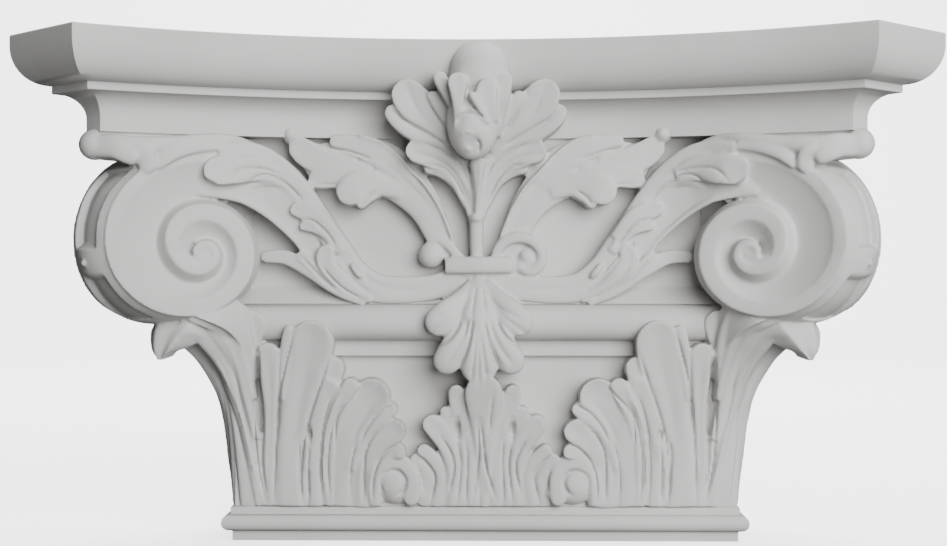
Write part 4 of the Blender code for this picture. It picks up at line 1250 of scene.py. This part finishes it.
def makeUneven(thing, material):
    tree = unevenTree()
    change = thing.modifiers.new("unevenness", "NODES")
    change.node_group = tree
    for socket in tree.interface.items_tree:
        if socket.item_type == "SOCKET" and socket.in_out == "INPUT":
            if socket.name in unevenness:
                change[socket.identifier] = float(unevenness[socket.name])
            elif socket.name == "Material":
                change[socket.identifier] = material
    return settle(thing)


def combine(base, other, operation):
    join = base.modifiers.new(operation.lower(), "BOOLEAN")
    join.operation = operation
    join.solver = "MANIFOLD"
    join.object = other
    settle(base)
    bpy.data.objects.remove(other, do_unlink=True)
    return base


def triangleCount(thing):
    return sum(len(polygon.vertices) - 2 for polygon in thing.data.polygons)


def thin(thing, target):
    reduce = thing.modifiers.new("thin", "DECIMATE")
    reduce.ratio = min(1.0, target / triangleCount(thing))
    reduce.use_collapse_triangulate = True
    return settle(thing)


def mend(thing):
    # closes the few spots where thinning pinched the skin
    shape = bmesh.new()
    shape.from_mesh(thing.data)
    for i in range(8):
        pinched = [e for e in shape.edges if not e.is_manifold]
        if not pinched:
            break
        around = list({v for e in pinched for v in e.verts})
        bmesh.ops.delete(shape, geom=around, context="VERTS")
        borders = [e for e in shape.edges if e.is_boundary]
        bmesh.ops.holes_fill(shape, edges=borders, sides=0)
        wide = [f for f in shape.faces if len(f.verts) > 3]
        bmesh.ops.triangulate(shape, faces=wide)
    print("pinched edges left", sum(1 for e in shape.edges if not e.is_manifold))
    bmesh.ops.recalc_face_normals(shape, faces=shape.faces)
    shape.to_mesh(thing.data)
    shape.free()
    return thing


def outerSkin(thing):
    # only the widest connected skin stays, so that nothing is left inside
    shape = bmesh.new()
    shape.from_mesh(thing.data)
    unseen = set(shape.verts)
    best, bestReach = [], -1.0
    while unseen:
        seed = unseen.pop()
        patch, queue = [seed], [seed]
        while queue:
            for link in queue.pop().link_edges:
                for vert in link.verts:
                    if vert in unseen:
                        unseen.discard(vert)
                        patch.append(vert)
                        queue.append(vert)
        reach = max(v.co.x for v in patch) - min(v.co.x for v in patch)
        if reach > bestReach:
            best, bestReach = patch, reach
    kept = set(best)
    bmesh.ops.delete(shape, geom=[v for v in shape.verts if v not in kept], context="VERTS")
    shape.to_mesh(thing.data)
    shape.free()
    return thing


print("stage: fuse")
carving = fuse()
print("fused faces", len(carving.data.polygons))
chisel = Chisel(carving)
rounds = blend["rounds"]
for spot in blend["spots"]:
    chisel.ease(upperAxis, *spot, rounds)
for carve in (carveSideLeaves, carveInnerLeaf, carveAxisLeaf, carveShell, carveFlower, carveSprays):
    carve(chisel)
chisel.finish()
print("stage: unevenness")
finish = plasterMaterial()
carving = makeUneven(carving, finish)
inside = boxLoop(-capital["coreInset"])
core = stackSolid("core", [(capital["coreBottom"], inside), (totalHeight - capital["coreTop"], inside)])
carving = combine(carving, core, "DIFFERENCE")
print("stage: thin")
carving = mend(thin(carving, capital["carvedTriangles"]))
print("stage: body")
body = stackSolid("neck block", neckLevels())
body = combine(body, stackSolid("abacus", abacusLevels()), "UNION")
body = combine(body, carving, "UNION")
reach = 2.0 * hornX
hall = ((-reach, -reach), (reach, -reach), (reach, wallDepth), (-reach, wallDepth))
limits = stackSolid("limits", [(0.0, hall), (totalHeight, hall)])
cast = outerSkin(combine(body, limits, "INTERSECT"))
cast.name = "capitalCast"
cast.data.name = "capitalCast"
print("cast triangles", triangleCount(cast))
cast.data.shade_smooth()
cast.data.set_sharp_from_angle(angle=math.radians(capital["sharpAngle"]))

cast.data.materials.clear()
cast.data.materials.append(finish)
for polygon in cast.data.polygons:
    polygon.material_index = 0
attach(cast, "root")
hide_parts("pilaster_capital")

print("stage: room")

# Room, lights and camera: metres, watts and degrees that a user may change
room = {
    "colour": (0.92, 0.92, 0.92, 1.0),
    "bounce": (0.10, 0.10, 0.10, 1.0),
    "roughness": 0.9,
    "glow": 2.7,
    "sky": 0.03,
    "skyColour": (1.0, 1.0, 1.0, 1.0),
    "nearEnd": -6.0,
    "farEnd": 2.2,
    "bend": 1.2,
    "halfWidth": 8.0,
    "wallTop": 6.0,
    "drop": 0.0002,
    "keyPlace": (0.69, -1.40, 0.55),
    "keySize": 1.3,
    "keyPower": 63.0,
    "keyAim": (0.0, 0.0, 0.15),
    "backdropPlace": (0.0, 0.9, 2.6),
    "backdropSize": 1.6,
    "backdropPower": 220.0,
    "backdropAim": (0.0, 3.3, 0.4),
    "sensor": 36.0,
    "lens": 60.82,
    "viewRight": 0.014,
    "viewDistance": 0.858,
    "viewTurn": 0.95,
}


def floorMaterial():
    # white where the camera sees it, darker for the light it throws back on the capital
    material = bpy.data.materials.new("floor")
    material.use_nodes = True
    tree = material.node_tree
    shader = tree.nodes["Principled BSDF"]
    shader.inputs["Roughness"].default_value = room["roughness"]
    shader.inputs["Emission Color"].default_value = room["colour"]
    path = addNode(tree, "ShaderNodeLightPath")
    colours = {"A": room["bounce"], "B": room["colour"]}
    mix = addNode(tree, "ShaderNodeMix", colours, data_type="RGBA")
    glow = addNode(tree, "ShaderNodeMath", {1: room["glow"]}, operation="MULTIPLY")
    connect(tree, (
        (path, "Is Camera Ray", mix, "Factor"), (mix, "Result", shader, "Base Color"),
        (path, "Is Camera Ray", glow, 0), (glow, "Value", shader, "Emission Strength")))
    return material


def addFloor():
    # level floor that bends up into the wall behind
    steps = 16
    bend, width, end = room["bend"], room["halfWidth"], room["farEnd"]
    profile = [(room["nearEnd"], 0.0), (end, 0.0)]
    for i in range(1, steps + 1):
        angle = math.pi / 2.0 * i / steps
        profile.append((end + bend * math.sin(angle), bend * (1.0 - math.cos(angle))))
    profile.append((end + bend, room["wallTop"]))
    points = [(x, y, z) for y, z in profile for x in (-width, width)]
    faces = [(2 * i, 2 * i + 1, 2 * i + 3, 2 * i + 2) for i in range(len(profile) - 1)]
    mesh = bpy.data.meshes.new("floor")
    mesh.from_pydata(points, [], faces)
    mesh.update()
    mesh.shade_smooth()
    mesh.materials.append(floorMaterial())
    thing = addThing("floor", mesh)
    thing.location.z = -room["drop"]


def addLight(name):
    light = bpy.data.lights.new(name, "AREA")
    light.size = room[name + "Size"]
    light.energy = room[name + "Power"]
    thing = addThing(name, light)
    thing.location = room[name + "Place"]
    aim = Vector(room[name + "Aim"]) - Vector(room[name + "Place"])
    thing.rotation_euler = aim.to_track_quat("-Z", "Y").to_euler()


addFloor()
for name in ("key", "backdrop"):
    addLight(name)
world = bpy.data.worlds.new("studio")
bpy.context.scene.world = world
world.use_nodes = True
sky = world.node_tree.nodes["Background"]
sky.inputs["Color"].default_value = room["skyColour"]
sky.inputs["Strength"].default_value = room["sky"]

camera = bpy.data.cameras.new("camera")
viewer = addThing("camera", camera)
bpy.context.scene.camera = viewer
camera.sensor_width = room["sensor"]
camera.lens = room["lens"]
viewer.location = (room["viewRight"], -room["viewDistance"] - midDepth * metre, eyeHeight * metre)
viewer.rotation_euler = (math.radians(90.0), 0.0, math.radians(room["viewTurn"]))
